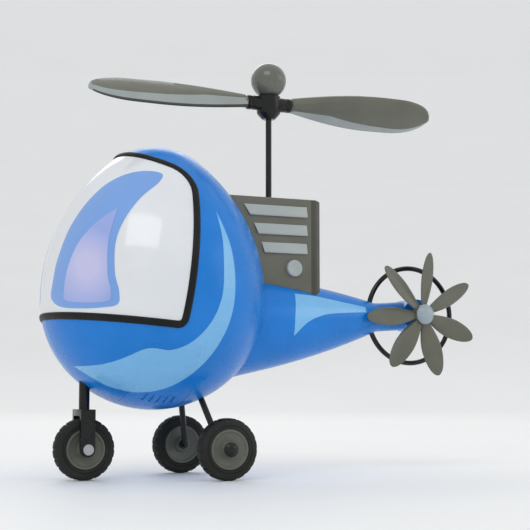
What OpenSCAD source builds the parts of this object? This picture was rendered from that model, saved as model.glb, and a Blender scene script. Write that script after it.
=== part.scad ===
// Toy helicopter: an egg-shaped pod with a wrap-round windscreen, a tapered tail boom,
// a louvred engine block that drives the main rotor by gears and the tail rotor by a round belt,
// and three wheels. Millimetres, +Z up, nose towards -X, port side towards -Y.
// The origin is on the floor under the mast.

/* [Pod] */
// Distance from the mast back to front, to the pod's upright centre line
pod_offset = 62.5; // [62:0.1:63.5]
// Height of the pod's widest ring above the floor
pod_z = 84.5; // [84:0.1:85]
// Wall thickness of the two case halves
wall = 2.2; // [2:0.1:2.4]

/* [Boom] */
// Radius of the boom where it leaves the pod
boom_root_r = 23.2; // [22.8:0.1:23.6]
// Radius of the boom's slender end
boom_tip_r = 7.4; // [7.3:0.1:7.6]
// Upward slope of the boom, in degrees
boom_rise = 3.8; // [3.6:0.1:4]

/* [Main rotor] */
// Radius from the mast to a blade tip
rotor_r = 95; // [88:1:98]
// Height of the blades' plane
rotor_z = 187; // [185:1:189]
// Widest chord of a main blade
blade_chord = 23; // [20:1:25]
// Thickness of a main blade at its root
blade_t = 6; // [4:0.5:6]
// Pitch of the main blades at the hub, in degrees
blade_pitch = 42; // [34:1:46]
// Radius of the ball that screws onto the mast
ball_r = 9; // [8:0.5:9.5]
// Radius of the mast
mast_r = 1.5; // [1.5:0.1:1.5]

/* [Tail rotor] */
// Distance of the tail shaft behind the mast
tail_x = 82.3; // [81.5:0.1:83]
// Number of blades on the tail fan
fan_blades = 7; // [5:1:8]
// Radius to the fan's blade tips
fan_r = 33.5; // [33:0.5:34.5]
// Radius of the hoop round the tail shaft
hoop_r = 25; // [24.6:0.1:25.4]
// Radius of the hoop's wire
hoop_wire_r = 1.3; // [1.2:0.05:1.35]

/* [Wheels] */
// Radius of each tyre
tyre_r = 14.5; // [14:0.5:15]
// Width of each tyre
tyre_w = 8; // [7:0.5:9]
// Radius of the grey wheel disc
rim_r = 9.5; // [9:0.5:10]
// Distance from the middle to each main wheel
half_track = 30; // [28:1:32]
// Radius of the leg rods and axles
rod_r = 1.5; // [1.5:0.1:1.5]

/* [Engine block] */
// Half the width of the engine block
block_half_w = 14; // [13.8:0.1:14.2]
// Height of the engine block's flat top
block_top = 137; // [136.5:0.5:137.5]
// Back face of the engine block
block_rear = 24; // [23.8:0.1:24.2]
// Number of louvre slats on each side
slats = 3; // [2:1:3]

/* [Gears and belt] */
// Gear module
gear_module = 0.5; // [0.5:0.1:0.5]
// Teeth on the mast gear
gear_teeth = 36; // [36:1:36]
// Teeth on the motor pinion
pinion_teeth = 12; // [12:1:12]
// Radius of the belt's centre line round the mast pulley
mast_pulley_r = 9; // [9:0.1:9.2]
// Radius of the belt's centre line round the tail pulley
tail_pulley_r = 3.6; // [3.5:0.1:3.6]
// Radius of the round rubber belt
belt_r = 0.8; // [0.7:0.05:0.8]

/* [Hidden] */
$fn = 64;

BLUE = [0.03, 0.49, 0.86];
OLIVE = [0.37, 0.37, 0.32];
PALE = [0.65, 0.69, 0.66];
WHITE = [0.88, 0.90, 0.93];
BLACK = [0.08, 0.08, 0.07];
STEEL = [0.70, 0.71, 0.72];
BRASS = [0.80, 0.65, 0.30];
RED = [0.75, 0.10, 0.08];

PORT = -1;
STARBOARD = 1;
big = 400;                       // larger than the whole toy, for cutting blocks
gap = 0.15;                      // clearance between mating mouldings
run = 0.05;                      // radial clearance of a running fit
snug = 0.02;                     // radial clearance of a fixed pin in its hole
pod_x = -pod_offset;

boom_x = -5;                     // where the boom's radius is boom_root_r
boom_z = 75;                     // height of the boom's axis there
shaft_z = boom_z + (tail_x - boom_x) * tan(boom_rise);   // height of the tail shaft
belt_z = boom_z + 0.3;           // middle of the mast pulley

wheel_z = tyre_r;
main_wheel_x = pod_x + 27;
nose_wheel_x = pod_x - 33;
foot_y = half_track - tyre_w / 2 - 3;    // where a leg turns outwards into its axle
leg_top = [pod_x + 16.4, 8, 50];         // inner end of the starboard leg
cap_y = half_track + tyre_w / 2 + 0.4;   // inner face of an axle cap

block_inner = block_half_w - 2;
plate_z = 90;                    // underside of the chassis plate
plate_t = 2.5;
motor_x = -gear_module * (gear_teeth + pinion_teeth) / 2;
motor_z = plate_z + plate_t + 5; // foot of the motor's can
gear_z = 125;                    // underside of the mast gear
gear_t = 5;
pressure = 25;                   // pressure angle of the gear teeth
button_x = 7.2;
button_z = 102;
button_r = 4.2;
housing_screw_x = block_rear - 5.1;
housing_screw_y = 8.9;

door_x0 = pod_x - 20;            // front edge of the battery door
door_x1 = pod_x + 8;             // rear edge of the battery door
door_half_w = 30;
door_screw_x = pod_x - 6;
door_screw_y = 27;
cell_r = 5.25;
cell_l = 44.5;
cell_z = 51.5;
cell_x = [pod_x - 11.6, pod_x - 0.4];
tray_x0 = pod_x - 18.4;
tray_x1 = pod_x + 6.4;
tray_top = 60;
weight_pins = [pod_x - 15, pod_x - 7];   // x of the two pins that hold the nose weight
ear_z = 55.4;                    // underside of the tray's ears
screw_spots = [[-100, 62], [-26, 60], [-38, 126], [26, 66.5]];  // x and z of the case screws
fan_y = -13.2;                    // middle of the tail fan

// ---------- Outlines ----------

// Points along an arc, from angle a0 to a1 in n steps.
function arc(c, r, a0, a1, n) =
    [for (i = [0:n]) let (a = a0 + (a1 - a0) * i / n) [c[0] + r * cos(a), c[1] + r * sin(a)]];

// Half outline of the egg, grown by off: four arcs that run smoothly into each other.
function egg_outline(off) =
    let (p = concat(arc([0, 3], 55 + off, -84, -36.87, 7), arc([4, 0], 50 + off, -30, 0, 4),
                    arc([-32, 0], 86 + off, 6, 48, 7), arc([0, 41], 34 + off, 52.03, 84, 5)))
    concat([[0, 3 - 55 - off]], p, [[0, 41 + 34 + off]]);

// Radius of the boom at distance t along its axis.
function boom_radius(t) = max(boom_tip_r, boom_root_r - 0.15 * t - 0.00135 * t * max(0, t));

// Where edges ab and bc of an anticlockwise outline meet, once both have moved out by d.
function pushed_corner(a, b, c, d) =
    let (u = (b - a) / norm(b - a), v = (c - b) / norm(c - b),
         p = b + d * [u[1], -u[0]], q = b + d * [v[1], -v[0]],
         w = q - p, k = (w[0] * v[1] - w[1] * v[0]) / (u[0] * v[1] - u[1] * v[0]))
    p + k * u;

// An arc of radius r that rounds corner b between its neighbours a and c.
function rounded(a, b, c, r, n) =
    let (u = (a - b) / norm(a - b), v = (c - b) / norm(c - b),
         half = acos(u * v) / 2, m = (u + v) / norm(u + v), centre = b + m * r / sin(half),
         p = b + u * r / tan(half) - centre, q = b + v * r / tan(half) - centre,
         a0 = atan2(p[1], p[0]), turn = atan2(q[1], q[0]) - a0,
         sweep = turn > 180 ? turn - 360 : turn < -180 ? turn + 360 : turn)
    arc(centre, r, a0, a0 + sweep, n);

// The windscreen's outline from the side, in x and z from the pod's middle: sill, rear post, brow.
screen_corners = [[-4.5, -13.5], [7.5, 57.6], [-90, 103.7], [-90, -4.5]];
function screen_outline(d) =
    let (s = screen_corners,
         p = [for (i = [0:3]) pushed_corner(s[(i + 3) % 4], s[i], s[(i + 1) % 4], d)])
    concat(rounded(p[3], p[0], p[1], 3 + d, 4), rounded(p[0], p[1], p[2], 13 + d, 8), [p[2], p[3]]);

// Half angle of a gear tooth at radius r, in degrees.
function involute(a) = tan(a) * 180 / PI - a;
function tooth_half(r, teeth, play) =
    let (pitch_r = gear_module * teeth / 2, base_r = pitch_r * cos(pressure))
    90 / teeth + involute(pressure) - involute(r > base_r ? acos(base_r / r) : 0)
    - play / pitch_r * 90 / PI;

// Outline of a spur gear with a tooth on the +X axis.
function gear_outline(teeth, play = 0.07) =
    let (pitch_r = gear_module * teeth / 2, foot = pitch_r - 1.15 * gear_module,
         rs = [foot, pitch_r - 0.5 * gear_module, pitch_r, pitch_r + 0.45 * gear_module,
               pitch_r + 0.9 * gear_module])
    [for (i = [0:teeth - 1]) each concat(
        [for (r = rs) let (a = 360 * i / teeth - tooth_half(r, teeth, play)) r * [cos(a), sin(a)]],
        [for (k = [4:-1:0]) let (r = rs[k], a = 360 * i / teeth + tooth_half(r, teeth, play))
            r * [cos(a), sin(a)]])];

// Half section of a pulley with a V groove for a round belt whose centre line has radius r.
function pulley_half(r, bore, flange, half_w) =
    let (reach = flange - r, d = (belt_r + 0.1) * sqrt(2), floor_r = r - belt_r - 0.1)
    [[bore, -half_w], [flange, -half_w], [flange, -reach - d], [floor_r, r - floor_r - d],
     [floor_r, d - r + floor_r], [flange, reach + d], [flange, half_w], [bore, half_w]];

// ---------- Shared shapes ----------

module egg(off) {
    translate([pod_x, 0, pod_z]) rotate_extrude() polygon(egg_outline(off));
}

module boom(off) {
    length = (tail_x - boom_x) / cos(boom_rise);
    start = -30;
    steps = 12;
    ts = [for (i = [0:steps]) start + (length - start) * i / steps];
    translate([boom_x, 0, boom_z]) rotate([0, 90 - boom_rise, 0]) rotate_extrude()
        polygon(concat([[0, start]], [for (t = ts) [boom_radius(t) + off, t]], [[0, length]]));
}

// A cylinder along Y from y0 to y1.
module bar_y(x, z, r, y0, y1) {
    translate([x, y0, z]) rotate([-90, 0, 0]) cylinder(r = r, h = y1 - y0);
}

// A cylinder between two points.
module rod(a, b, r) {
    d = b - a;
    translate(a) rotate([0, acos(d[2] / norm(d)), atan2(d[1], d[0])]) cylinder(r = r, h = norm(d));
}

// A box that is symmetric about the middle plane.
module slab(x0, x1, half_y, z0, z1) {
    translate([x0, -half_y, z0]) cube([x1 - x0, 2 * half_y, z1 - z0]);
}

// The side outline of the windscreen, grown by d, as a block right through the pod.
module screen_block(d) {
    translate([pod_x, big / 2, pod_z]) rotate([90, 0, 0]) linear_extrude(big) polygon(screen_outline(d));
}

// A screw that points up, with the underside of its head at z 0.
module screw(length, head_r = 2.6, shank_r = 1.2) {
    difference() {
        translate([0, 0, -1.8]) cylinder(r = head_r, h = 1.8);
        for (a = [0, 90]) rotate([0, 0, a]) translate([-1.6, -0.35, -1.9]) cube([3.2, 0.7, 1]);
    }
    cylinder(r = shank_r, h = length);
}

// One polyhedron through equal rings of points; closed joins the last ring to the first.
module skin(rings, closed = false) {
    n = len(rings);
    m = len(rings[0]);
    last = closed ? n - 1 : n - 2;
    sides = [for (i = [0:last], j = [0:m - 1], k = [0, 1])
        let (a = i * m + j, b = i * m + (j + 1) % m,
             c = ((i + 1) % n) * m + (j + 1) % m, d = ((i + 1) % n) * m + j)
        k == 0 ? [a, c, b] : [a, d, c]];
    caps = closed ? [] : [[for (j = [0:m - 1]) j], [for (j = [m - 1:-1:0]) (n - 1) * m + j]];
    polyhedron(points = [for (r = rings, p = r) p], faces = concat(sides, caps), convexity = 6);
}

// Rings of a round tube of radius r along a path.
function tube_rings(path, r, sides, closed) =
    let (n = len(path), ref = [0.52, 0.61, 0.6])
    [for (i = [0:n - 1])
        let (after = closed ? path[(i + 1) % n] : path[min(i + 1, n - 1)],
             before = closed ? path[(i + n - 1) % n] : path[max(i - 1, 0)],
             t = (after - before) / norm(after - before),
             u = cross(t, ref) / norm(cross(t, ref)), v = cross(t, u))
        [for (j = [0:sides - 1]) path[i] + r * (cos(360 * j / sides) * u + sin(360 * j / sides) * v)]];

// ---------- Case: two halves, windscreen and seal ----------

// Shelves that the chassis and the battery tray's ears rest on.
module case_shelves() {
    intersection() {
        slab(-27, -9, 24, plate_z - 3, plate_z - snug);
        egg(-0.8);
    }
    intersection() {
        slab(14, block_rear - 1.9, 18, plate_z - 3, plate_z - snug);
        boom(-0.8);
    }
    intersection() {
        egg(-0.8);
        for (s = [-1, 1], z = [ear_z - 2.8, ear_z + 2.04])
            translate([pod_x - 12, 39 * s - 7, z - snug]) cube([12, 14, 2.8]);
    }
}

// Sockets for the legs and the nose fork.
module case_sockets() {
    intersection() {
        egg(-0.8);
        union() {
            for (s = [PORT, STARBOARD]) rod([main_wheel_x, s * foot_y, wheel_z], on_side(leg_top, s), 4);
            translate([nose_wheel_x, 0, 30]) cylinder(r = 4.6, h = 30);
        }
    }
}

function on_side(p, s) = [p[0], s * p[1], p[2]];

// Screw posts that meet across the middle.
module case_posts() {
    intersection() {
        for (p = screw_spots) bar_y(p[0], p[1], 3.4, -60, 60);
        union() {
            egg(-0.8);
            boom(-0.8);
        }
    }
}

module case_holes() {
    slab(-16, -8, 9, plate_z - 4, plate_z);
    screen_block(1);
    slab(-34, block_rear - 1.85, block_inner, plate_z, block_top - 3);
    slab(door_x0, door_x1, door_half_w, 0, 50);
    for (s = [PORT, STARBOARD]) rod([main_wheel_x, s * foot_y, wheel_z], on_side(leg_top, s), rod_r + snug);
    translate([nose_wheel_x, 0, 25]) cylinder(r = 2.5 + snug, h = 31);
    translate([tail_x, 0, shaft_z]) rotate([90, 0, 0]) rotate_extrude() translate([hoop_r, 0])
        circle(r = hoop_wire_r + snug);
    bar_y(tail_x, shaft_z, 2.4 + snug, -12, 12);
    for (p = screw_spots) {
        bar_y(p[0], p[1], 1.25, -9, 0.1);
        bar_y(p[0], p[1], 1.5, 0, 5);
        bar_y(p[0], p[1], 2.8, 4, 60);
    }
    for (s = [-1, 1]) translate([housing_screw_x, s * housing_screw_y, plate_z - 6]) cylinder(r = 3, h = 7);
}

module case_body() {
    difference() {
        union() {
            difference() {
                union() {
                    egg(0);
                    boom(0);
                    bar_y(tail_x, shaft_z, 8.2, -7.5, 7.5);
                }
                egg(-wall);
                boom(-wall);
                bar_y(tail_x, shaft_z, 6.2, -5.5, 5.5);
            }
            case_shelves();
            case_sockets();
            case_posts();
        }
        case_holes();
    }
}

module case_left() {
    color(BLUE) intersection() {
        case_body();
        translate([-big / 2, -big, -big / 2]) cube(big);
    }
}

module case_right() {
    color(BLUE) intersection() {
        case_body();
        translate([-big / 2, 0, -big / 2]) cube(big);
    }
}

module windscreen() {
    color(WHITE) difference() {
        intersection() {
            egg(0);
            screen_block(-1);
        }
        egg(-wall);
    }
}

// T-shaped rubber: a bead over both edges, and a web between them.
module windscreen_seal() {
    color(BLACK) {
        difference() {
            intersection() {
                egg(0.9);
                screen_block(2.4);
            }
            egg(snug);
            screen_block(-2.2);
        }
        difference() {
            intersection() {
                egg(0.1);
                screen_block(1 - gap / 2);
            }
            egg(-wall);
            screen_block(-1 + gap / 2);
        }
    }
}

module case_screws() {
    color(STEEL) for (p = screw_spots) translate([p[0], 4 + snug, p[1]]) rotate([90, 0, 0]) screw(11);
}

// ---------- Engine block ----------

block_plan = [[-34, -block_half_w], [block_rear - 4, -block_half_w], [block_rear, -block_half_w + 4],
              [block_rear, block_half_w - 4], [block_rear - 4, block_half_w], [-34, block_half_w]];
slat_h = 5.4;
slat_x1 = 14.5;
function slat_z(i) = 130.3 - 9.2 * i;

// The hollow box of the engine block, cut to sit on the pod and the boom.
module block_walls() {
    difference() {
        translate([0, 0, 80]) linear_extrude(block_top - 80) polygon(block_plan);
        slab(-36, block_rear - 2, block_inner - 2, 79, block_top - 2);
        slab(-36, block_rear - 4.5, block_inner, 79, block_top - 2);
        egg(gap);
        boom(gap);
    }
}

// Room for one slat in the port wall.
module slat_slot(i) {
    difference() {
        translate([-40, -block_half_w - 3, slat_z(i) - slat_h / 2 - 0.1])
            cube([slat_x1 + 40.1, 5.5, slat_h + 0.2]);
        egg(3.9);
    }
}

module engine_housing() {
    color(OLIVE) difference() {
        union() {
            block_walls();
            translate([0, 0, block_top - 4.5]) cylinder(r = 5, h = 4);
            for (s = [-1, 1]) translate([housing_screw_x, s * housing_screw_y, plate_z + plate_t + snug])
                cylinder(r = 3.15, h = 20);
        }
        translate([0, 0, block_top - 6]) cylinder(r = 3 + snug, h = 8);
        for (s = [-1, 1]) translate([housing_screw_x, s * housing_screw_y, plate_z]) cylinder(r = 1.25, h = 14);
        for (i = [0:slats - 1]) {
            slat_slot(i);
            mirror([0, 1, 0]) slat_slot(i);
        }
        bar_y(button_x, button_z, button_r + run, -20, -10);
    }
}

// Slats on a backing plate; the plate lies inside the port wall.
module louvre_panel() {
    translate([-9, -block_inner + 0.05, slat_z(slats - 1) - 4]) cube([24, 0.9, 9.2 * slats - 1.4]);
    for (i = [0:slats - 1]) difference() {
        translate([-40, 0, slat_z(i)]) rotate([90, 0, 90]) linear_extrude(slat_x1 + 40)
            polygon([[-block_inner + 0.5, -slat_h / 2], [-block_inner + 0.5, slat_h / 2],
                     [-block_half_w - 0.2, slat_h / 2], [-block_half_w - 1.2, -slat_h / 2 + 0.6],
                     [-block_half_w - 0.9, -slat_h / 2]]);
        egg(4);
    }
}

module louvres_left() {
    color(PALE) louvre_panel();
}

module louvres_right() {
    color(PALE) mirror([0, 1, 0]) louvre_panel();
}

module housing_screws() {
    color(STEEL) for (s = [-1, 1])
        translate([housing_screw_x, s * housing_screw_y, plate_z - snug]) screw(12);
}

module chassis() {
    color(OLIVE) difference() {
        union() {
            slab(-27, block_rear - 4.7, block_inner - 0.1, plate_z, plate_z + plate_t);
            slab(0, block_rear - 2.2, block_inner - 2.1, plate_z, plate_z + plate_t);
            translate([0, 0, plate_z - 4]) cylinder(r = 4.5, h = 10);
            for (x = [motor_x - 9.4, motor_x + 7.7])
                slab(x, x + 1.7, x < motor_x ? 9 : 3.6, plate_z + 1, x < motor_x ? 114 : 97);
            slab(button_x - 4, button_x + 4, 0.9, plate_z + 1, button_z + 4);
        }
        translate([0, 0, plate_z - 5]) cylinder(r = 2.5 + snug, h = 12);
        for (s = [-1, 1]) translate([housing_screw_x, s * housing_screw_y, plate_z - 1]) cylinder(r = 1.25, h = 5);
        for (s = [-1, 1]) translate([motor_x, s * 6, plate_z - 1]) cylinder(r = 1.6, h = 5);
        translate([motor_x, 0, plate_z - 1]) cylinder(r = 2.2, h = 5);
        translate([-6, -12, plate_z - 1]) cube([7, 2.6, 5]);
    }
}

// ---------- Motor, gears and switch ----------

module motor_section(h) {
    linear_extrude(h) intersection() {
        circle(r = 10.05);
        square([15.1, 30], center = true);
    }
}

module motor_can() {
    color(STEEL) translate([motor_x, 0, motor_z]) difference() {
        union() {
            motor_section(20.1);
            cylinder(r = 3, h = 21.6);
        }
        translate([0, 0, -1]) cylinder(r = 1 + run, h = 24);
    }
}

module motor_endcap() {
    color(WHITE) translate([motor_x, 0, motor_z - 4.95]) difference() {
        union() {
            motor_section(4.9);
            for (s = [-1, 1]) translate([-1, s * 6 - 0.2, -1.6]) cube([2, 0.4, 2]);
        }
        translate([0, 0, -1]) cylinder(r = 1 + run, h = 8);
    }
}

module motor_shaft() {
    color(STEEL) translate([motor_x, 0, plate_z + 1.5]) cylinder(r = 1, h = gear_z + gear_t + 1 - plate_z - 1.5);
}

module pinion() {
    color(BRASS) translate([motor_x, 0, gear_z - 0.5]) rotate([0, 0, 180 / pinion_teeth]) difference() {
        linear_extrude(gear_t + 1) polygon(gear_outline(pinion_teeth));
        translate([0, 0, -1]) cylinder(r = 1.01, h = gear_t + 3);
    }
}

module switch_body() {
    color(BLACK) difference() {
        translate([button_x - 3.8, -7.6, button_z - 3.8]) cube([7.6, 6.6, 7.6]);
        bar_y(button_x, button_z, 1.5 + run, -9, -3);
    }
}

// Cap, flange behind the wall, and a stem that runs in the switch.
module power_button() {
    color(PALE) {
        translate([button_x, -block_half_w - 1.8, button_z]) rotate([-90, 0, 0]) {
            cylinder(r1 = button_r - 0.7, r2 = button_r, h = 0.7);
            translate([0, 0, 0.7]) cylinder(r = button_r, h = 4 - 0.3);
            translate([0, 0, 4.2]) cylinder(r = button_r + 0.8, h = 1);
            cylinder(r = 1.5, h = 9.4);
        }
    }
}

module upper_bush() {
    color(BRASS) difference() {
        union() {
            translate([0, 0, block_top - 4.5]) cylinder(r = 3, h = 5);
            translate([0, 0, block_top + snug]) cylinder(r = 4.5, h = 1);
        }
        translate([0, 0, block_top - 6]) cylinder(r = mast_r + run, h = 9);
    }
}

module lower_bush() {
    color(BRASS) difference() {
        union() {
            translate([0, 0, plate_z - 4.5]) cylinder(r = 2.5, h = 10);
            translate([0, 0, plate_z - 5]) cylinder(r = 3.8, h = 1 - snug);
        }
        translate([0, 0, plate_z - 6]) cylinder(r = mast_r + run, h = 14);
    }
}

// ---------- Main rotor ----------

module mast() {
    color(BLACK) translate([0, 0, belt_z - 4]) cylinder(r = mast_r, h = rotor_z + 9.5 - belt_z + 4);
}

module mast_gear() {
    color(WHITE) translate([0, 0, gear_z]) difference() {
        union() {
            linear_extrude(gear_t) polygon(gear_outline(gear_teeth));
            translate([0, 0, -3]) cylinder(r = 4, h = 4);
        }
        translate([0, 0, -4]) cylinder(r = mast_r + 0.01, h = gear_t + 6);
    }
}

module mast_pulley() {
    color(BLACK) translate([0, 0, belt_z]) rotate_extrude()
        polygon(pulley_half(mast_pulley_r, mast_r + 0.01, mast_pulley_r + 1.2, 3.2));
}

module rotor_hub() {
    color(BLACK) difference() {
        union() {
            translate([0, 0, rotor_z - 5]) cylinder(r = 6, h = 9);
            translate([0, 0, rotor_z - 8]) cylinder(r1 = 3.4, r2 = 6, h = 3);
            translate([-12, 0, rotor_z]) rotate([0, 90, 0]) cylinder(r = 3.6, h = 24);
        }
        translate([0, 0, rotor_z - 9]) cylinder(r = mast_r + 0.01, h = 20);
        translate([-13, 0, rotor_z]) rotate([0, 90, 0]) cylinder(r = 2, h = 8);
        translate([5, 0, rotor_z]) rotate([0, 90, 0]) cylinder(r = 2, h = 8);
    }
}

// Chord of a main blade at share s of its length: a leaf with a broad, rounded tip.
function leaf(s) = (0.34 + 0.66 * sin(90 * min(1, s / 0.62))) * sqrt(max(0.02, 1 - pow(max(0, s - 0.72) / 0.28, 2.4)));

// One ring of a blade across X at x, with chord c, thickness t, turned by a.
function blade_ring(x, c, t, a, m) =
    [for (j = [0:m - 1]) let (q = 360 * j / m, w = [cos(q), sin(q)],
        y = c / 2 * sign(w[0]) * pow(abs(w[0]), 0.9), z = t / 2 * sign(w[1]) * pow(abs(w[1]), 0.6))
        [x, y * cos(a) - z * sin(a), y * sin(a) + z * cos(a)]];

// A blade along +X: round root, then a twisted leaf.
module main_blade() {
    root = 13;
    ss = [0, 0.06, 0.14, 0.26, 0.4, 0.54, 0.66, 0.76, 0.84, 0.9, 0.945, 0.975, 0.993, 1];
    rings = concat([for (x = [5.3, 12.2]) blade_ring(x, 3.7, 3.7, -blade_pitch, 20)],
        [for (s = ss) blade_ring(root + (rotor_r - root) * s, blade_chord * leaf(s), blade_t - 1.2 * s,
                                 6 * s - blade_pitch, 20)]);
    skin(rings);
}

module rotor_blade_rear() {
    color(OLIVE) translate([0, 0, rotor_z]) main_blade();
}

module rotor_blade_front() {
    color(OLIVE) translate([0, 0, rotor_z]) rotate([0, 0, 180]) main_blade();
}

module rotor_ball() {
    color(BLACK) difference() {
        translate([0, 0, rotor_z + 12]) sphere(r = ball_r);
        translate([0, 0, rotor_z - 10 + 4 + snug]) cylinder(r = 12, h = 10);
        translate([0, 0, rotor_z]) cylinder(r = mast_r + 0.01, h = 10);
    }
}

// ---------- Tail drive ----------

// The belt: round the front of the mast pulley, then a quarter turn to the back of the tail pulley.
belt_a = acos(mast_pulley_r / tail_x);
belt_from = [mast_pulley_r * cos(belt_a), belt_z];
belt_to = [tail_x - belt_from[0], shaft_z - belt_z];
belt_lift = atan2(belt_to[1], belt_to[0]);
belt_spread = asin(tail_pulley_r / norm(belt_to));
belt_path = concat(
    [for (i = [0:26]) let (a = belt_a + (360 - 2 * belt_a) * i / 26)
        [mast_pulley_r * cos(a), mast_pulley_r * sin(a), belt_z]],
    [for (i = [0:14]) let (a = 90 + belt_lift + belt_spread - (180 + 2 * belt_spread) * i / 14)
        [tail_x + tail_pulley_r * cos(a), 0, shaft_z + tail_pulley_r * sin(a)]]);

module drive_belt() {
    color(BLACK) skin(tube_rings(belt_path, belt_r, 10, true), closed = true);
}

module tail_bushes() {
    color(BRASS) for (s = [-1, 1]) difference() {
        union() {
            bar_y(tail_x, shaft_z, 2.4, s < 0 ? -8.3 : 5.3, s < 0 ? -5.3 : 8.3);
            bar_y(tail_x, shaft_z, 3.6, s < 0 ? -8.4 : 7.5 + snug, s < 0 ? -7.5 - snug : 8.4);
        }
        bar_y(tail_x, shaft_z, 1 + run, -12, 12);
    }
}

module tail_shaft() {
    color(STEEL) bar_y(tail_x, shaft_z, 1, fan_y - 4.5, 11);
}

module tail_pulley() {
    color(BLACK) translate([tail_x, 0, shaft_z]) rotate([90, 0, 0]) rotate_extrude()
        polygon(pulley_half(tail_pulley_r, 1.01, tail_pulley_r + 1.1, 3));
}

module tail_fan() {
    ss = [0, 0.15, 0.32, 0.5, 0.68, 0.82, 0.92, 0.98, 1];
    function petal(s) = 10.5 * (0.35 + 0.65 * sin(90 * min(1, s / 0.55))) * sqrt(max(0.03, 1 - pow(max(0, s - 0.5) / 0.5, 2)));
    color(OLIVE) {
        difference() {
            bar_y(tail_x, shaft_z, 5, fan_y - 2.8, fan_y + 2.8);
            bar_y(tail_x, shaft_z, 1.01, fan_y - 4, fan_y + 4);
        }
        for (i = [0:fan_blades - 1]) translate([tail_x, fan_y, shaft_z])
            rotate([0, 360 / fan_blades * i - 29.5, 0]) rotate([-90, 0, 0])
            skin([for (s = ss) blade_ring(3.6 + (fan_r - 3.6) * s, petal(s), 2 - 0.6 * s, 28 - 6 * s, 12)]);
    }
}

module tail_cap() {
    color(PALE) difference() {
        intersection() {
            translate([tail_x, fan_y - 2.8 + 2.9, shaft_z]) sphere(r = 6);
            bar_y(tail_x, shaft_z, 9, fan_y - 12, fan_y - 2.8 - snug);
        }
        bar_y(tail_x, shaft_z, 1.01, fan_y - 4.6, fan_y + 2);
    }
}

module tail_collar() {
    color(STEEL) difference() {
        bar_y(tail_x, shaft_z, 2.6, 8.8, 10.8);
        bar_y(tail_x, shaft_z, 1.01, 8, 12);
    }
}

module tail_hoop() {
    color(BLACK) translate([tail_x, 0, shaft_z]) rotate([90, 0, 0]) rotate_extrude() translate([hoop_r, 0])
        circle(r = hoop_wire_r);
}

// ---------- Battery bay ----------

module cell_bay(r) {
    for (x = cell_x) bar_y(x, cell_z, r, -cell_l / 2 - 1.4, cell_l / 2 + 1.4);
}

// An upside-down tray over the cells, with ears that slide between the case's shelves.
module battery_tray() {
    color(BLACK) difference() {
        union() {
            slab(tray_x0, tray_x1, cell_l / 2 + 3.4, 48, tray_top);
            for (x = weight_pins) translate([x, 0, tray_top - 1]) cylinder(r = 1.5, h = 3.8);
            slab(pod_x - 10, pod_x - 2, 38, ear_z, ear_z + 2);
            translate([door_screw_x, door_screw_y, 46.2]) cylinder(r = 3.3, h = 12);
        }
        cell_bay(cell_r + 0.1);
        slab(tray_x0 + 1.2, tray_x1 - 1.2, cell_l / 2 + 1.4, 40, cell_z);
        translate([cell_x[0], cell_l / 2, 40]) cube([cell_x[1] - cell_x[0], 1.4, cell_z - 36.8]);
        translate([door_screw_x, door_screw_y, 40]) cylinder(r = 1.25, h = 16);
        for (x = cell_x) translate([x - 1, -cell_l / 2 - 4, cell_z - 1]) cube([2, 3, 2]);
    }
}

module nose_weight() {
    color(STEEL) difference() {
        slab(pod_x - 27.5, pod_x - 3.5, 13, tray_top + snug, tray_top + 14);
        for (x = weight_pins) translate([x, 0, tray_top - 1]) cylinder(r = 1.5 + snug, h = 4.2);
    }
}

module battery_cells() {
    color(RED) for (i = [0, 1]) {
        s = i == 0 ? 1 : -1;
        bar_y(cell_x[i], cell_z, cell_r, -cell_l / 2 + (s < 0 ? 0.9 : 0), cell_l / 2 - (s < 0 ? 0 : 0.9));
        bar_y(cell_x[i], cell_z, 1.9, s < 0 ? -cell_l / 2 : cell_l / 2 - 1, s < 0 ? -cell_l / 2 + 1 : cell_l / 2);
    }
}

// One bridging plate on the starboard side, two end plates with tags on the port side.
module battery_contacts() {
    y = cell_l / 2 + 0.1;
    color(STEEL) {
        translate([cell_x[0] - 3.6, y, cell_z - 3]) cube([cell_x[1] - cell_x[0] + 7.2, 0.5, 6]);
        for (x = cell_x) {
            translate([x - 3.6, -y - 0.5, cell_z - 3]) cube([7.2, 0.5, 6]);
            translate([x - 0.8, -cell_l / 2 - 5, cell_z - 0.6]) cube([1.6, 4.8, 1.2]);
        }
    }
}

module battery_door() {
    color(BLUE) difference() {
        union() {
            intersection() {
                difference() {
                    egg(0);
                    egg(-wall);
                }
                slab(door_x0 + gap, door_x1 - gap, door_half_w - gap, 0, 50);
            }
            intersection() {
                egg(-0.8);
                translate([door_screw_x, door_screw_y, 30]) cylinder(r = 3.3, h = 16);
            }
            intersection() {
                difference() {
                    egg(-wall - 0.15);
                    egg(-wall - 1.6);
                }
                translate([pod_x - 11, -35, 30]) cube([10, 9, 30]);
            }
            intersection() {
                difference() {
                    egg(-wall + 0.6);
                    egg(-wall - 1.6);
                }
                translate([pod_x - 11, -29, 30]) cube([10, 4, 30]);
            }
        }
        translate([door_screw_x, door_screw_y, 30]) cylinder(r = 1.5, h = 20);
        translate([door_screw_x, door_screw_y, 30]) cylinder(r = 2.7, h = 11.6);
    }
}

module door_screw() {
    color(STEEL) translate([door_screw_x, door_screw_y, 41.6 - snug]) screw(13);
}

// ---------- Wiring ----------

// Wires from the battery tags up to the motor's tags and the switch.
module wire_red() {
    color(RED) skin(tube_rings([[cell_x[1], -28.4, cell_z], [cell_x[1] + 1, -30, 56], [-54, -28, 68],
        [-40, -16, 78], [-24, -8, 83], [motor_x - 1, -6, 85.6], [motor_x, -6, 88.5], [motor_x, -6, 90.6]],
        0.6, 10, false), closed = false);
}

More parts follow.
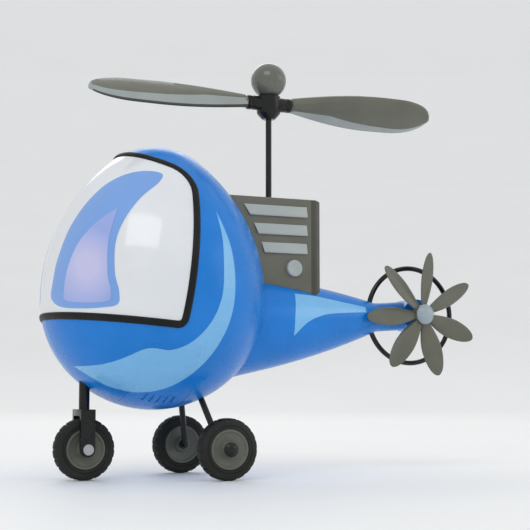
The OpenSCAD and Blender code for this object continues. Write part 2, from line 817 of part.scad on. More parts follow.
module wire_black() {
    color(BLACK) skin(tube_rings([[cell_x[0], -28.4, cell_z], [cell_x[0] - 2, -30.5, 58], [-70, -31, 66],
        [-42, -20, 81], [-22, -12, 84.5], [-6, -11.2, 86.5], [-3.6, -10.8, 91], [-1, -10.4, 96.5],
        [3, -6.5, 96.8], [5.4, -5.6, 97], [button_x + 1, -5.2, 97.3]], 0.6, 10, false), closed = false);
}

// ---------- Legs and wheels ----------

module leg(s) {
    foot = [main_wheel_x, s * foot_y, wheel_z];
    color(BLACK) {
        rod(foot, on_side(leg_top, s), rod_r);
        translate(foot) sphere(r = rod_r + 0.5);
        bar_y(main_wheel_x, wheel_z, rod_r, min(s * foot_y, s * (cap_y + 1.3)), max(s * foot_y, s * (cap_y + 1.3)));
        bar_y(main_wheel_x, wheel_z, 2.3, s < 0 ? -foot_y - 2.6 : foot_y + 1.8, s < 0 ? -foot_y - 1.8 : foot_y + 2.6);
    }
}

module leg_left() {
    leg(PORT);
}

module leg_right() {
    leg(STARBOARD);
}

module nose_fork() {
    arm_in = tyre_w / 2 + 0.9;
    color(BLACK) difference() {
        union() {
            translate([nose_wheel_x, 0, wheel_z + tyre_r + 3.4]) cylinder(r = 2.5, h = 55.8 - wheel_z - tyre_r - 3.4);
            slab(nose_wheel_x - 3.5, nose_wheel_x + 3.5, arm_in + 2, wheel_z + tyre_r + 1, wheel_z + tyre_r + 4);
            for (s = [-1, 1]) {
                translate([nose_wheel_x - 3.5, s < 0 ? -arm_in - 2 : arm_in, wheel_z])
                    cube([7, 2, tyre_r + 2]);
                bar_y(nose_wheel_x, wheel_z, 3.5, s < 0 ? -arm_in - 2 : arm_in, s < 0 ? -arm_in : arm_in + 2);
            }
        }
        bar_y(nose_wheel_x, wheel_z, rod_r + snug, -20, 20);
    }
}

module nose_axle() {
    y = tyre_w / 2 + 2.92;
    color(STEEL) {
        bar_y(nose_wheel_x, wheel_z, rod_r, -y - 0.9, y + 0.9);
        for (s = [-1, 1]) bar_y(nose_wheel_x, wheel_z, 2.5, s < 0 ? -y - 1 : y, s < 0 ? -y : y + 1);
    }
}

// Push-on caps that hold the main wheels on their axles.
module axle_caps() {
    color(BLACK) for (s = [-1, 1]) difference() {
        intersection() {
            bar_y(main_wheel_x, wheel_z, 3.4, s < 0 ? -cap_y - 3 : cap_y, s < 0 ? -cap_y : cap_y + 3);
            translate([main_wheel_x, s * (cap_y - 2.2), wheel_z]) sphere(r = 4.6);
        }
        bar_y(main_wheel_x, wheel_z, rod_r + 0.01, -cap_y - 1.32, cap_y + 1.32);
    }
}

module tyre() {
    notches = 20;
    w = tyre_w / 2;
    rotate([90, 0, 0]) difference() {
        rotate_extrude() polygon([[rim_r, -w + 0.6], [rim_r + 0.8, -w], [tyre_r - 2.4, -w],
            [tyre_r - 0.7, -w + 0.8], [tyre_r, -w + 2.2], [tyre_r, w - 2.2], [tyre_r - 0.7, w - 0.8],
            [tyre_r - 2.4, w], [rim_r + 0.8, w], [rim_r, w - 0.6]]);
        for (i = [0:notches - 1]) rotate([0, 0, 360 / notches * i])
            translate([tyre_r - 0.7, -0.6, -w - 1]) cube([2, 1.2, tyre_w + 2]);
    }
}

module rim() {
    w = tyre_w / 2;
    rotate([90, 0, 0]) rotate_extrude() polygon([[rod_r + run, -w], [3.6, -w], [3.6, -w + 1.6],
        [rim_r - 1.6, -w + 0.9], [rim_r - 1.2, -w + 0.2], [rim_r - snug, -w + 0.2],
        [rim_r - snug, w - 0.2], [rim_r - 1.2, w - 0.2], [rim_r - 1.6, w - 0.9], [3.6, w - 1.6],
        [3.6, w], [rod_r + run, w]]);
}

module tyre_left() {
    color(BLACK) translate([main_wheel_x, -half_track, wheel_z]) tyre();
}

module rim_left() {
    color(OLIVE) translate([main_wheel_x, -half_track, wheel_z]) rim();
}

module tyre_right() {
    color(BLACK) translate([main_wheel_x, half_track, wheel_z]) tyre();
}

module rim_right() {
    color(OLIVE) translate([main_wheel_x, half_track, wheel_z]) rim();
}

module tyre_nose() {
    color(BLACK) translate([nose_wheel_x, 0, wheel_z]) tyre();
}

module rim_nose() {
    color(OLIVE) translate([nose_wheel_x, 0, wheel_z]) rim();
}

case_left();
case_right();
windscreen();
windscreen_seal();
case_screws();
engine_housing();
louvres_left();
louvres_right();
housing_screws();
chassis();
motor_can();
motor_endcap();
motor_shaft();
pinion();
switch_body();
power_button();
upper_bush();
lower_bush();
mast();
mast_gear();
mast_pulley();
rotor_hub();
rotor_blade_front();
rotor_blade_rear();
rotor_ball();
drive_belt();
tail_bushes();
tail_shaft();
tail_pulley();
tail_fan();
tail_cap();
tail_collar();
tail_hoop();
battery_tray();
battery_cells();
battery_contacts();
battery_door();
door_screw();
nose_weight();
wire_red();
wire_black();
leg_left();
leg_right();
nose_fork();
nose_axle();
axle_caps();
tyre_left();
rim_left();
tyre_right();
rim_right();
tyre_nose();
rim_nose();
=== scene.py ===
"""Looks of the toy helicopter: smooth mouldings, blades, wheels and prints built round the CAD frame."""
import math

import bmesh
import bpy
from mathutils import Matrix, Vector


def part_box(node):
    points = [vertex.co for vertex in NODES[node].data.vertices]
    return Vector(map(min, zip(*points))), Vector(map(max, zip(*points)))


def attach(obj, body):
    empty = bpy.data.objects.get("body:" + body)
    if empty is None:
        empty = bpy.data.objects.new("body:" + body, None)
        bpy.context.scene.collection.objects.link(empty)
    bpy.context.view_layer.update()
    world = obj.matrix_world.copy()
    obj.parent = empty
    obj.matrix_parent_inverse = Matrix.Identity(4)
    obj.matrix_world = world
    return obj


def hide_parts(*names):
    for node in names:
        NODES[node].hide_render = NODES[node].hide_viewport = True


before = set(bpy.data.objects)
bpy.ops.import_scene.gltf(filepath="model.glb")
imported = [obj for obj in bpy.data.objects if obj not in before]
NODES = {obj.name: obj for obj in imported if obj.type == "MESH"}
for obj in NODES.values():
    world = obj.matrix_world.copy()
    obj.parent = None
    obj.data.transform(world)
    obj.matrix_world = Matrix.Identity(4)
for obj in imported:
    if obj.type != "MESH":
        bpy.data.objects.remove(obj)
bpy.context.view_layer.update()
MM = 0.001
PORT, STARBOARD = -1, 1
SIDES = ((PORT, "port"), (STARBOARD, "starboard"))

# ---------- Places, read from the frame ----------


def middle(node):
    low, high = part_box(node)
    return (low + high) / 2


WALL = 2.2 * MM
CASE_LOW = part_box("case_left")[0]
POD_R = -CASE_LOW.y
POD_DROP = 52 * MM      # from the pod's middle down to its lowest point
POD = Vector((CASE_LOW.x + POD_R, 0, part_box("battery_door")[0].z + POD_DROP))
BLADES_AT = Vector((0, 0, middle("rotor_hub").z + 2 * MM))
TAIL = middle("tail_shaft")
TAIL_AT = (TAIL.x, 0, TAIL.z)
FAN = middle("tail_fan")
BLOCK_LOW, BLOCK_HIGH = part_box("engine_housing")
BLOCK_FRONT = -34 * MM      # before it is cut to the pod
BUTTON = middle("power_button")
WHEEL = middle("rim_left")

# ---------- Mesh helpers ----------


def mm(*points, at=(0, 0)):
    """Points given in millimetres from a place, in metres."""
    return [(at[0] + x * MM, at[1] + z * MM) for x, z in points]


def smooth(obj, angle=35):
    """Smooth shading, with sharp edges where faces turn by more than the angle in degrees."""
    mesh = obj.data
    mesh.shade_smooth()
    mesh.set_sharp_from_angle(angle=math.radians(angle))
    return obj


def new_object(name, points, faces, angle=35):
    mesh = bpy.data.meshes.new(name)
    mesh.from_pydata([tuple(p) for p in points], [], faces)
    bm = bmesh.new()
    bm.from_mesh(mesh)
    bmesh.ops.recalc_face_normals(bm, faces=bm.faces)
    bm.to_mesh(mesh)
    bm.free()
    obj = bpy.data.objects.new(name, mesh)
    bpy.context.scene.collection.objects.link(obj)
    return smooth(obj, angle)


def loft(name, rings, closed=False, angle=35):
    """One skin through equal rings of points, capped at both ends unless it closes on itself."""
    count, size = len(rings), len(rings[0])
    faces = []
    for i in range(count if closed else count - 1):
        here, there = i * size, (i + 1) % count * size
        for j in range(size):
            k = (j + 1) % size
            faces.append((here + j, here + k, there + k, there + j))
    if not closed:
        faces.append(tuple(range(size)))
        faces.append(tuple(range((count - 1) * size, count * size)))
    return new_object(name, [p for ring in rings for p in ring], faces, angle)


AXIS_TURN = {"X": Matrix.Rotation(math.pi / 2, 3, "Y"), "Y": Matrix.Rotation(-math.pi / 2, 3, "X"),
             "Z": Matrix.Identity(3)}
ON_AXIS = 1e-9


def lathe(name, outline, at=(0, 0, 0), axis="Z", segments=96, angle=35):
    """Turns an outline of (radius, height) points about an axis. Points on the axis become poles."""
    turn = AXIS_TURN[axis]
    points, starts = [], []
    for radius, height in outline:
        starts.append(len(points))
        if radius < ON_AXIS:
            points.append(Vector((0, 0, height)))
            continue
        for i in range(segments):
            a = 2 * math.pi * i / segments
            points.append(Vector((radius * math.cos(a), radius * math.sin(a), height)))
    faces = []
    closed = outline[0][0] > ON_AXIS
    for n in range(len(outline) if closed else len(outline) - 1):
        m = (n + 1) % len(outline)
        pole, next_pole = outline[n][0] < ON_AXIS, outline[m][0] < ON_AXIS
        for i in range(segments):
            k = (i + 1) % segments
            a, b, c, d = starts[n] + i, starts[n] + k, starts[m] + k, starts[m] + i
            if pole and not next_pole:
                faces.append((starts[n], c, d))
            elif next_pole and not pole:
                faces.append((a, b, starts[m]))
            elif not pole:
                faces.append((a, b, c, d))
    return new_object(name, [Vector(at) + turn @ p for p in points], faces, angle)


def prism(name, outline, low, high, axis="Y"):
    """Extrudes an outline between two heights: (x, z) points along Y, (x, y) points along Z."""
    def put(p, h):
        return Vector((p[0], h, p[1])) if axis == "Y" else Vector((p[0], p[1], h))
    return loft(name, [[put(p, low) for p in outline], [put(p, high) for p in outline]], angle=20)


def box(name, low, high):
    """A block between two corners."""
    outline = [(low[0], low[1]), (high[0], low[1]), (high[0], high[1]), (low[0], high[1])]
    return prism(name, outline, low[2], high[2], "Z")


def apply_modifiers(obj, angle=35):
    """Makes the result of the modifiers the mesh itself."""
    graph = bpy.context.evaluated_depsgraph_get()
    mesh = bpy.data.meshes.new_from_object(obj.evaluated_get(graph))
    obj.modifiers.clear()
    obj.data = mesh
    return smooth(obj, angle)


def cut(obj, *tools, operation="DIFFERENCE", angle=35):
    """Boolean of obj with each tool in turn; the tools are removed."""
    for tool in tools:
        step = obj.modifiers.new("cut", "BOOLEAN")
        step.operation = operation
        step.solver = "MANIFOLD"
        step.object = tool
        apply_modifiers(obj, angle)
        bpy.data.objects.remove(tool)
    return obj


def bevel(obj, width, segments=3, angle=30):
    """Rounds the edges that turn by more than the angle in degrees."""
    step = obj.modifiers.new("bevel", "BEVEL")
    step.width = width
    step.segments = segments
    step.limit_method = "ANGLE"
    step.angle_limit = math.radians(angle)
    return apply_modifiers(obj, 40)


def copy_of(obj, name):
    twin = obj.copy()
    twin.data = obj.data.copy()
    twin.name = name
    bpy.context.scene.collection.objects.link(twin)
    return twin


def join(name, *objs):
    """Puts several meshes into one object."""
    bm = bmesh.new()
    for obj in objs:
        bm.from_mesh(obj.data)
    mesh = bpy.data.meshes.new(name)
    bm.to_mesh(mesh)
    bm.free()
    for obj in objs:
        bpy.data.objects.remove(obj)
    whole = bpy.data.objects.new(name, mesh)
    bpy.context.scene.collection.objects.link(whole)
    return smooth(whole)


# ---------- Outlines ----------


def arc(centre, radius, start, end, steps):
    """Points on a circle, from one angle to another in degrees."""
    points = []
    for i in range(steps + 1):
        a = math.radians(start + (end - start) * i / steps)
        points.append((centre[0] + radius * math.cos(a), centre[1] + radius * math.sin(a)))
    return points


def egg_outline(off=0.0, fine=2):
    """The pod's half outline in metres: four arcs that run smoothly into each other."""
    o = off / MM
    side = arc((0, 3), 55 + o, -90, -36.87, 12 * fine)[:-1] + arc((4, 0), 50 + o, -36.87, 0, 8 * fine)[:-1]
    top = arc((-32, 0), 86 + o, 0, 52.03, 15 * fine)[:-1] + arc((0, 41), 34 + o, 52.03, 90, 9 * fine)
    outline = [(x * MM, z * MM) for x, z in side + top]
    outline[0] = (0.0, outline[0][1])
    outline[-1] = (0.0, outline[-1][1])
    return outline


EGG = egg_outline(0.0, 6)


def egg_radius(z):
    """Radius of the pod at height z above its middle."""
    for (r0, z0), (r1, z1) in zip(EGG, EGG[1:]):
        if z0 <= z <= z1:
            return r0 + (r1 - r0) * (z - z0) / (z1 - z0)
    return 0.0


def egg(name, off=0.0):
    """The pod as a solid, with its skin moved out by off."""
    return lathe(name, egg_outline(off), POD, segments=192)


BOOM_RISE = math.radians(3.8)
BOOM_PAST = 5 * MM      # how far the boom's line runs past the mast's axis, and past the tail shaft
BOOM_FROM = Vector((-BOOM_PAST, 0, TAIL.z - (TAIL.x + BOOM_PAST) * math.tan(BOOM_RISE)))
BOOM_AXIS = Vector((math.cos(BOOM_RISE), 0, math.sin(BOOM_RISE)))
BOOM_LENGTH = (TAIL.x + BOOM_PAST) / math.cos(BOOM_RISE)
BOOM_TIP_R, BOOM_ROOT_R = 7.4, 23.2             # in millimetres, as are the next two
BOOM_TAPER, BOOM_CURVE = 0.15, 0.00135
BOOM_START = -30 * MM                           # inside the pod


def boom_radius(t):
    """Radius of the boom at t along its axis: a taper that steepens, down to a straight tip."""
    t = t / MM
    return max(BOOM_TIP_R, BOOM_ROOT_R - BOOM_TAPER * t - BOOM_CURVE * t * max(0, t)) * MM


def boom(name, off=0.0):
    """The boom as a solid, with its skin moved out by off."""
    steps = 60
    ts = [BOOM_START + (BOOM_LENGTH - BOOM_START) * i / steps for i in range(steps + 1)]
    outline = [(0, BOOM_START)] + [(boom_radius(t) + off, t) for t in ts] + [(0, BOOM_LENGTH)]
    body = lathe(name, outline, segments=144)
    body.data.transform(Matrix.Translation(BOOM_FROM) @ Matrix.Rotation(math.pi / 2 - BOOM_RISE, 4, "Y"))
    return body


def pin(radius, low, high):
    """Outline of a plain pin."""
    return [(0, low), (radius, low), (radius, high), (0, high)]


def bar_y(name, x, z, radius, y0, y1, segments=64):
    """A round bar across the toy."""
    return lathe(name, pin(radius, y0, y1), (x, 0, z), "Y", segments)


def rod(name, a, b, radius):
    """A round bar between two points."""
    made = lathe(name, pin(radius, 0, (b - a).length), segments=48)
    made.data.transform(Matrix.Translation(a) @ (b - a).to_track_quat("Z", "Y").to_matrix().to_4x4())
    return made


# ---------- Materials ----------


def srgb(*levels):
    """A colour of three screen levels, 0 to 255, as linear light."""
    shares = [level / 255 for level in levels]
    return tuple(c / 12.92 if c <= 0.04045 else ((c + 0.055) / 1.055) ** 2.4 for c in shares) + (1.0,)


class Finish:
    """A Principled material with mottled colour, uneven gloss and a fine bump."""

    def __init__(self, name, color, rough, metallic=0.0, coat=0.0, specular=0.5):
        self.material = bpy.data.materials.new(name)
        self.material.use_nodes = True
        self.tree = self.material.node_tree
        self.shader = self.tree.nodes["Principled BSDF"]
        self.shader.inputs["Metallic"].default_value = metallic
        self.shader.inputs["Coat Weight"].default_value = coat
        self.shader.inputs["Coat Roughness"].default_value = 0.06
        self.shader.inputs["Specular IOR Level"].default_value = specular
        self.place = self.node("ShaderNodeTexCoord").outputs["Object"]
        self.color = color
        self.rough = rough

    def node(self, kind, **inputs):
        """A new node, with its sockets set by name."""
        made = self.tree.nodes.new(kind)
        for key, value in inputs.items():
            made.inputs[key.replace("_", " ")].default_value = value
        return made

    def link(self, a, b):
        self.tree.links.new(a, b)

    def noise(self, scale, detail=3.0, roughness=0.55, stretch=None):
        """Noise that rides on the object, stretched along its axes if asked."""
        made = self.node("ShaderNodeTexNoise", Scale=scale, Detail=detail, Roughness=roughness)
        source = self.place
        if stretch:
            mapping = self.node("ShaderNodeMapping", Scale=stretch)
            self.link(source, mapping.inputs["Vector"])
            source = mapping.outputs["Vector"]
        self.link(source, made.inputs["Vector"])
        return made.outputs["Fac"]

    def spread(self, source, low, high, start=0.35, end=0.65):
        """Maps start to end onto low to high."""
        made = self.node("ShaderNodeMapRange")
        for key, value in (("From Min", start), ("From Max", end), ("To Min", low), ("To Max", high)):
            made.inputs[key].default_value = value
        self.link(source, made.inputs["Value"])
        return made.outputs["Result"]

    def mix(self, factor, a, b):
        """A colour mix; a and b are colours or sockets."""
        made = self.tree.nodes.new("ShaderNodeMix")
        made.data_type = "RGBA"
        share, color_a, color_b = made.inputs[0], made.inputs[6], made.inputs[7]
        self.link(factor, share)
        for socket, value in ((color_a, a), (color_b, b)):
            if isinstance(value, tuple):
                socket.default_value = value
            else:
                self.link(value, socket)
        return made.outputs[2]

    def mottle(self, amount, scale):
        """Colour that drifts a little lighter and darker over the surface."""
        lift = 0.004        # so that near-black colours drift too
        dark = tuple(c * (1 - amount) for c in self.color[:3]) + (1.0,)
        light = tuple(min(1.0, c * (1 + amount) + lift) for c in self.color[:3]) + (1.0,)
        self.base = self.mix(self.spread(self.noise(scale), 0, 1), dark, light)
        self.link(self.base, self.shader.inputs["Base Color"])
        return self

    def gloss(self, amount, scale, stretch=None):
        """Roughness that drifts by this amount either way."""
        source = self.noise(scale, 5.0, 0.6, stretch)
        rough = self.spread(source, self.rough - amount, self.rough + amount)
        self.link(rough, self.shader.inputs["Roughness"])
        return self

    def bump(self, strength, scale, stretch=None):
        """A fine grain, a tenth of a millimetre deep at full strength."""
        made = self.node("ShaderNodeBump", Strength=strength, Distance=0.0001)
        self.link(self.noise(scale, 4.0, 0.5, stretch), made.inputs["Height"])
        self.link(made.outputs["Normal"], self.shader.inputs["Normal"])
        return self


def plastic(name, color, rough, coat=0.0, mottle=0.05, grain=900, bump=0.12, specular=0.5):
    made = Finish(name, color, rough, coat=coat, specular=specular)
    return made.mottle(mottle, 45).gloss(0.05, 160).bump(bump, grain)


def metal(name, color, rough):
    drawn = (1, 1, 0.05)        # the grain runs along Z
    made = Finish(name, color, rough, metallic=1.0)
    return made.mottle(0.08, 120).gloss(0.1, 600, drawn).bump(0.15, 900, drawn)


BLUE = plastic("blue_abs", srgb(0, 122, 212), 0.3, 0.12, mottle=0.04, grain=420, bump=0.02, specular=0.3)
SCREEN = plastic("screen_white", srgb(228, 231, 235), 0.16, 0.5, mottle=0.02, grain=300, bump=0.03)
OLIVE = plastic("olive_abs", srgb(98, 98, 86), 0.46, mottle=0.08, grain=1500, bump=0.35)
# Painted shade: a darker copy of the olive, for the engine block's rear strip and the blades' blunt walls
SHADE_OLIVE = plastic("olive_painted_shade", srgb(64, 63, 56), 0.5, mottle=0.08, grain=1500, bump=0.35)
PALE = plastic("pale_grey_abs", srgb(166, 173, 171), 0.38, grain=1200, bump=0.2)
BLADE = plastic("blade_olive", srgb(98, 99, 86), 0.4, 0.1, mottle=0.08, grain=1100, bump=0.25)
# Painted highlight: light grey for the blades' sloped edges and tips
HIGHLIGHT_GREY = plastic("blade_painted_highlight", srgb(150, 158, 157), 0.34, 0.1, mottle=0.06, grain=1100, bump=0.15)
BLACK = plastic("black_abs", srgb(14, 14, 14), 0.28, 0.08, mottle=0.1, bump=0.06, specular=0.3)
RUBBER = plastic("black_rubber", srgb(12, 12, 11), 0.5, mottle=0.15, grain=1300, bump=0.3, specular=0.25)
TYRE = plastic("tyre_rubber", srgb(34, 35, 31), 0.7, mottle=0.15, grain=1700, bump=0.5, specular=0.3)
DISC = plastic("wheel_disc", srgb(92, 94, 83), 0.42, mottle=0.08, grain=1400, bump=0.3)
CAP = plastic("cap_grey", srgb(153, 167, 175), 0.28, 0.3, mottle=0.04, bump=0.1)
WHITE = plastic("natural_nylon", srgb(222, 221, 214), 0.4, mottle=0.04, grain=1200, bump=0.2)
RED = plastic("red_jacket", srgb(190, 32, 26), 0.35, mottle=0.06, grain=800, bump=0.1)
STEEL = metal("zinc_steel", srgb(176, 178, 180), 0.32)
LACQUER = plastic("black_lacquer", srgb(12, 12, 12), 0.22, 0.2, mottle=0.1, grain=700, bump=0.04,
                  specular=0.3)
BRASS = metal("turned_brass", srgb(205, 170, 96), 0.3)
# Painted highlight: light blue laid on the blue body as a thin print
HIGHLIGHT_BLUE = plastic("painted_highlight_blue", srgb(118, 186, 236), 0.3, 0.3, mottle=0.03, grain=420, bump=0.05)
# Painted reflection: sky blue laid on the white windscreen as a thin print
REFLECTION_BLUE = plastic("painted_reflection_blue", srgb(116, 162, 228), 0.2, 0.5, mottle=0.02, bump=0.03)
BALL = plastic("ball_olive", srgb(96, 97, 87), 0.27, 0.5, mottle=0.08, bump=0.1)


def paint(obj, *finishes):
    obj.data.materials.clear()
    for finish in finishes:
        obj.data.materials.append(finish.material)
    return obj


def settle(obj, slot, body, *nodes):
    """Hides the CAD nodes that a piece stands for, and puts it on its body."""
    if nodes:
        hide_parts(*nodes)
    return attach(obj, body)


def place(obj, finish, slot, body, *nodes):
    return settle(paint(obj, finish), slot, body, *nodes)


# CAD nodes that no piece below replaces
CARRIED = {
    "case_screws": STEEL, "housing_screws": STEEL, "chassis": OLIVE, "motor_can": STEEL,
    "motor_endcap": WHITE, "motor_shaft": STEEL, "pinion": BRASS, "switch_body": BLACK,
    "upper_bush": BRASS, "lower_bush": BRASS, "mast_gear": WHITE, "mast_pulley": BLACK,
    "drive_belt": RUBBER, "tail_bushes": BRASS, "tail_shaft": STEEL, "tail_pulley": BLACK,
    "tail_collar": STEEL, "battery_tray": BLACK, "battery_cells": RED, "battery_contacts": STEEL,
    "door_screw": STEEL, "nose_weight": STEEL, "wire_red": RED, "wire_black": RUBBER, "nose_axle": STEEL,
}
for node_name, finish in CARRIED.items():
    smooth(paint(NODES[node_name], finish), 30)

# ---------- Windscreen outline ----------


def line_cross(p, q, r, s):
    """Where line pq meets line rs."""
    u, v = (q[0] - p[0], q[1] - p[1]), (s[0] - r[0], s[1] - r[1])
    k = ((r[0] - p[0]) * v[1] - (r[1] - p[1]) * v[0]) / (u[0] * v[1] - u[1] * v[0])
    return (p[0] + k * u[0], p[1] + k * u[1])


# Corners of the windscreen seen from the side, in millimetres from the pod's middle
SCREEN_CORNERS = [(-4.5, -13.5), (7.5, 57.6), (-90, 103.7), (-90, -4.5)]
SILL_ROUND, BROW_ROUND = 3, 13


def pushed_out(corners, d):
    """An anticlockwise outline with every edge moved out by d."""
    edges = []
    for p, q in zip(corners, corners[1:] + corners[:1]):
        length = math.dist(p, q)
        out = ((q[1] - p[1]) / length * d, (p[0] - q[0]) / length * d)
        edges.append(((p[0] + out[0], p[1] + out[1]), (q[0] + out[0], q[1] + out[1])))
    return [line_cross(*edges[i - 1], *edges[i]) for i in range(len(edges))]


def rounded_corner(a, b, c, radius, steps):
    """The arc that rounds corner b of the path a, b, c."""
    a, b, c = (Vector(p) for p in (a, b, c))
    u, v = (a - b).normalized(), (c - b).normalized()
    half = u.angle(v) / 2
    centre = b + (u + v).normalized() * radius / math.sin(half)
    p, q = b + u * radius / math.tan(half) - centre, b + v * radius / math.tan(half) - centre
    start, turn = math.atan2(p.y, p.x), math.atan2(q.y, q.x) - math.atan2(p.y, p.x)
    turn = (turn + math.pi) % (2 * math.pi) - math.pi
    angles = [start + turn * i / steps for i in range(steps + 1)]
    return [tuple(centre + radius * Vector((math.cos(angle), math.sin(angle)))) for angle in angles]


def screen_outline(d):
    """The windscreen's side outline, d millimetres larger, in metres from the pod's middle."""
    sill, brow, top, front = pushed_out(SCREEN_CORNERS, d)
    outline = rounded_corner(front, sill, brow, SILL_ROUND + d, 12)
    outline += rounded_corner(sill, brow, top, BROW_ROUND + d, 24)
    return mm(*outline, top, front)


def screen_block(name, d):
    """A block across the toy with the windscreen's side outline."""
    return prism(name, [(POD.x + x, POD.z + z) for x, z in screen_outline(d)], -0.1, 0.1)


# ---------- Case ----------

SEAM = 0.12 * MM        # half the joint line between the case halves
GAP = 0.15 * MM         # round the hatch, and under the engine cover
DOOR_X, DOOR_Y = (POD.x - 20 * MM, POD.x + 8 * MM), 30 * MM
LEG_FOOT_Y = 23 * MM
HOOP_R = 25 * MM        # to the middle of its bar


def leg_ends(side):
    """Where a leg turns into its axle, and its top end in the pod."""
    foot = Vector((WHEEL.x, side * LEG_FOOT_Y, WHEEL.z))
    return foot, Vector((POD.x + 16.4 * MM, side * 8 * MM, 50 * MM))


def tail_boss(name, radius, half):
    """The round boss that holds the tail shaft, in millimetres."""
    return bar_y(name, TAIL.x, TAIL.z, radius * MM, -half * MM, half * MM)


def door_block(name, gap):
    """The block that parts the hatch from the pod."""
    return box(name, (DOOR_X[0] + gap, gap - DOOR_Y, 0), (DOOR_X[1] - gap, DOOR_Y - gap, 50 * MM))


def case_shell():
    """Both halves in one: the egg and the boom, hollow, with every opening."""
    shell = egg("case")
    cut(shell, boom("boom"), tail_boss("tail_boss", 8.2, 7.5), operation="UNION")
    hollow = egg("hollow", -WALL)
    cut(hollow, boom("boom_hollow", -WALL), tail_boss("boss_hollow", 6.2, 5.5), operation="UNION")
    cut(shell, hollow, screen_block("screen_hole", 1.0))
    cut(shell, box("block_hole", (BLOCK_FRONT, -12 * MM, 90 * MM),
                   (BLOCK_HIGH.x - 1.85 * MM, 12 * MM, BLOCK_HIGH.z - 3 * MM)))
    cut(shell, door_block("door_hole", 0))
    cut(shell, tail_boss("bush_hole", 2.42, 20))
    cut(shell, lathe("hoop_hole", arc((HOOP_R, 0), 1.35 * MM, 0, 330, 11), TAIL_AT, "Y", 128))
    for side in (PORT, STARBOARD):
        cut(shell, rod("leg_hole", *leg_ends(side), 1.6 * MM))
    cut(shell, lathe("stem_hole", pin(2.6 * MM, 0, 60 * MM), (middle("nose_fork").x, 0, 20 * MM)))
    for low, high in screw_boxes():
        centre = (low + high) / 2
        cut(shell, bar_y("screw_hole", centre.x, centre.z, 2.8 * MM, 3 * MM, 70 * MM, 48))
    return shell


def screw_boxes():
    """The box of each case screw, found from the loose parts of their node."""
    bm = bmesh.new()
    bm.from_mesh(NODES["case_screws"].data)
    bmesh.ops.remove_doubles(bm, verts=bm.verts, dist=1e-6)
    found, seen = [], set()
    for start in bm.verts:
        if start in seen:
            continue
        stack, part = [start], []
        seen.add(start)
        while stack:
            v = stack.pop()
            part.append(v.co.copy())
            for e in v.link_edges:
                w = e.other_vert(v)
                if w not in seen:
                    seen.add(w)
                    stack.append(w)
        found.append([Vector(end(p[i] for p in part) for i in range(3)) for end in (min, max)])
    bm.free()
    return found


def build_case():
    """The two case halves, a joint line apart."""
    shell = case_shell()
    for (side, tag), node in zip(SIDES, ("case_left", "case_right")):
        half = copy_of(shell, "case_" + tag)
        low, high = (-0.2, -SEAM) if side == PORT else (SEAM, 0.2)
        cut(half, box("half", (-0.3, low, -0.1), (0.3, high, 0.4)), operation="INTERSECT")
        place(half, BLUE, "blue_plastic", "airframe", node)
    bpy.data.objects.remove(shell)


def build_screen():
    """One wrap-round pane, as thick as the case."""
    screen = egg("screen_pane")
    cut(screen, egg("screen_inside", -WALL))
    cut(screen, screen_block("screen_edge", -1.0), operation="INTERSECT")
    place(screen, SCREEN, "screen_plastic", "airframe", "windscreen")


def build_door():
    """The hatch in the pod's floor, with its screw's stepped hole and five finger grooves."""
    door = egg("hatch")
    cut(door, egg("door_inside", -WALL))
    cut(door, door_block("door_edge", GAP), operation="INTERSECT")
    head = middle("door_screw")
    hole = mm((0, 0), (2.7, 0), (2.7, 41.6), (1.5, 41.6), (1.5, 60), (0, 60))
    cut(door, lathe("head_hole", hole, (head.x, head.y, 0)))
    for i in range(5):
        x = POD.x - 13 * MM + i * 3.4 * MM
        groove = box("groove", (x, -26 * MM, 0), (x + 1.2 * MM, -19 * MM, 50 * MM))
        cut(groove, egg("groove_floor", -0.5 * MM))
        cut(door, groove)
    place(door, BLUE, "blue_plastic", "airframe", "battery_door")


def skin_point(x, z, side):
    """The point of the pod's skin beside (x, z), both from the pod's middle."""
    radius = egg_radius(z)
    return POD + Vector((x, side * math.sqrt(max(radius * radius - x * x, 0.0)), z))


def skin_normal(point):
    """The direction out of the pod's skin at a point of it."""
    local, step = point - POD, 0.2 * MM
    slope = (egg_radius(local.z + step) - egg_radius(local.z - step)) / (2 * step)
    return Vector((local.x, local.y, -slope * math.hypot(local.x, local.y))).normalized()


def edge_to_middle(start, towards, steps):
    """Points on a line of the outline from start to where it meets the pod's middle plane."""
    start, towards = Vector(start), Vector(towards)
    low, high = 0.0, 1.0
    for _ in range(40):
        k = (low + high) / 2
        p = start + (towards - start) * k
        low, high = (k, high) if -p.x < egg_radius(p.y) else (low, k)
    end = start + (towards - start) * low
    return [tuple(end + (start - end) * (1 - i / steps) ** 2) for i in range(steps + 1)]


def filled_in(points, longest):
    """The path with extra points, so that no step is longer than this."""
    path = points[:1]
    for a, b in zip(points, points[1:]):
        steps = max(1, math.ceil(math.dist(a, b) / longest))
        path += [tuple(Vector(a).lerp(Vector(b), (i + 1) / steps)) for i in range(steps)]
    return path


def evenly(points, count):
    """The closed path through points, as count points at equal distances."""
    closed = points + points[:1]
    run = [0.0]
    for a, b in zip(closed, closed[1:]):
        run.append(run[-1] + (b - a).length)
    even, k = [], 0
    for i in range(count):
        s = run[-1] * i / count
        while run[k + 1] < s:
            k += 1
        even.append(closed[k].lerp(closed[k + 1], (s - run[k]) / max(run[k + 1] - run[k], 1e-12)))
    return even


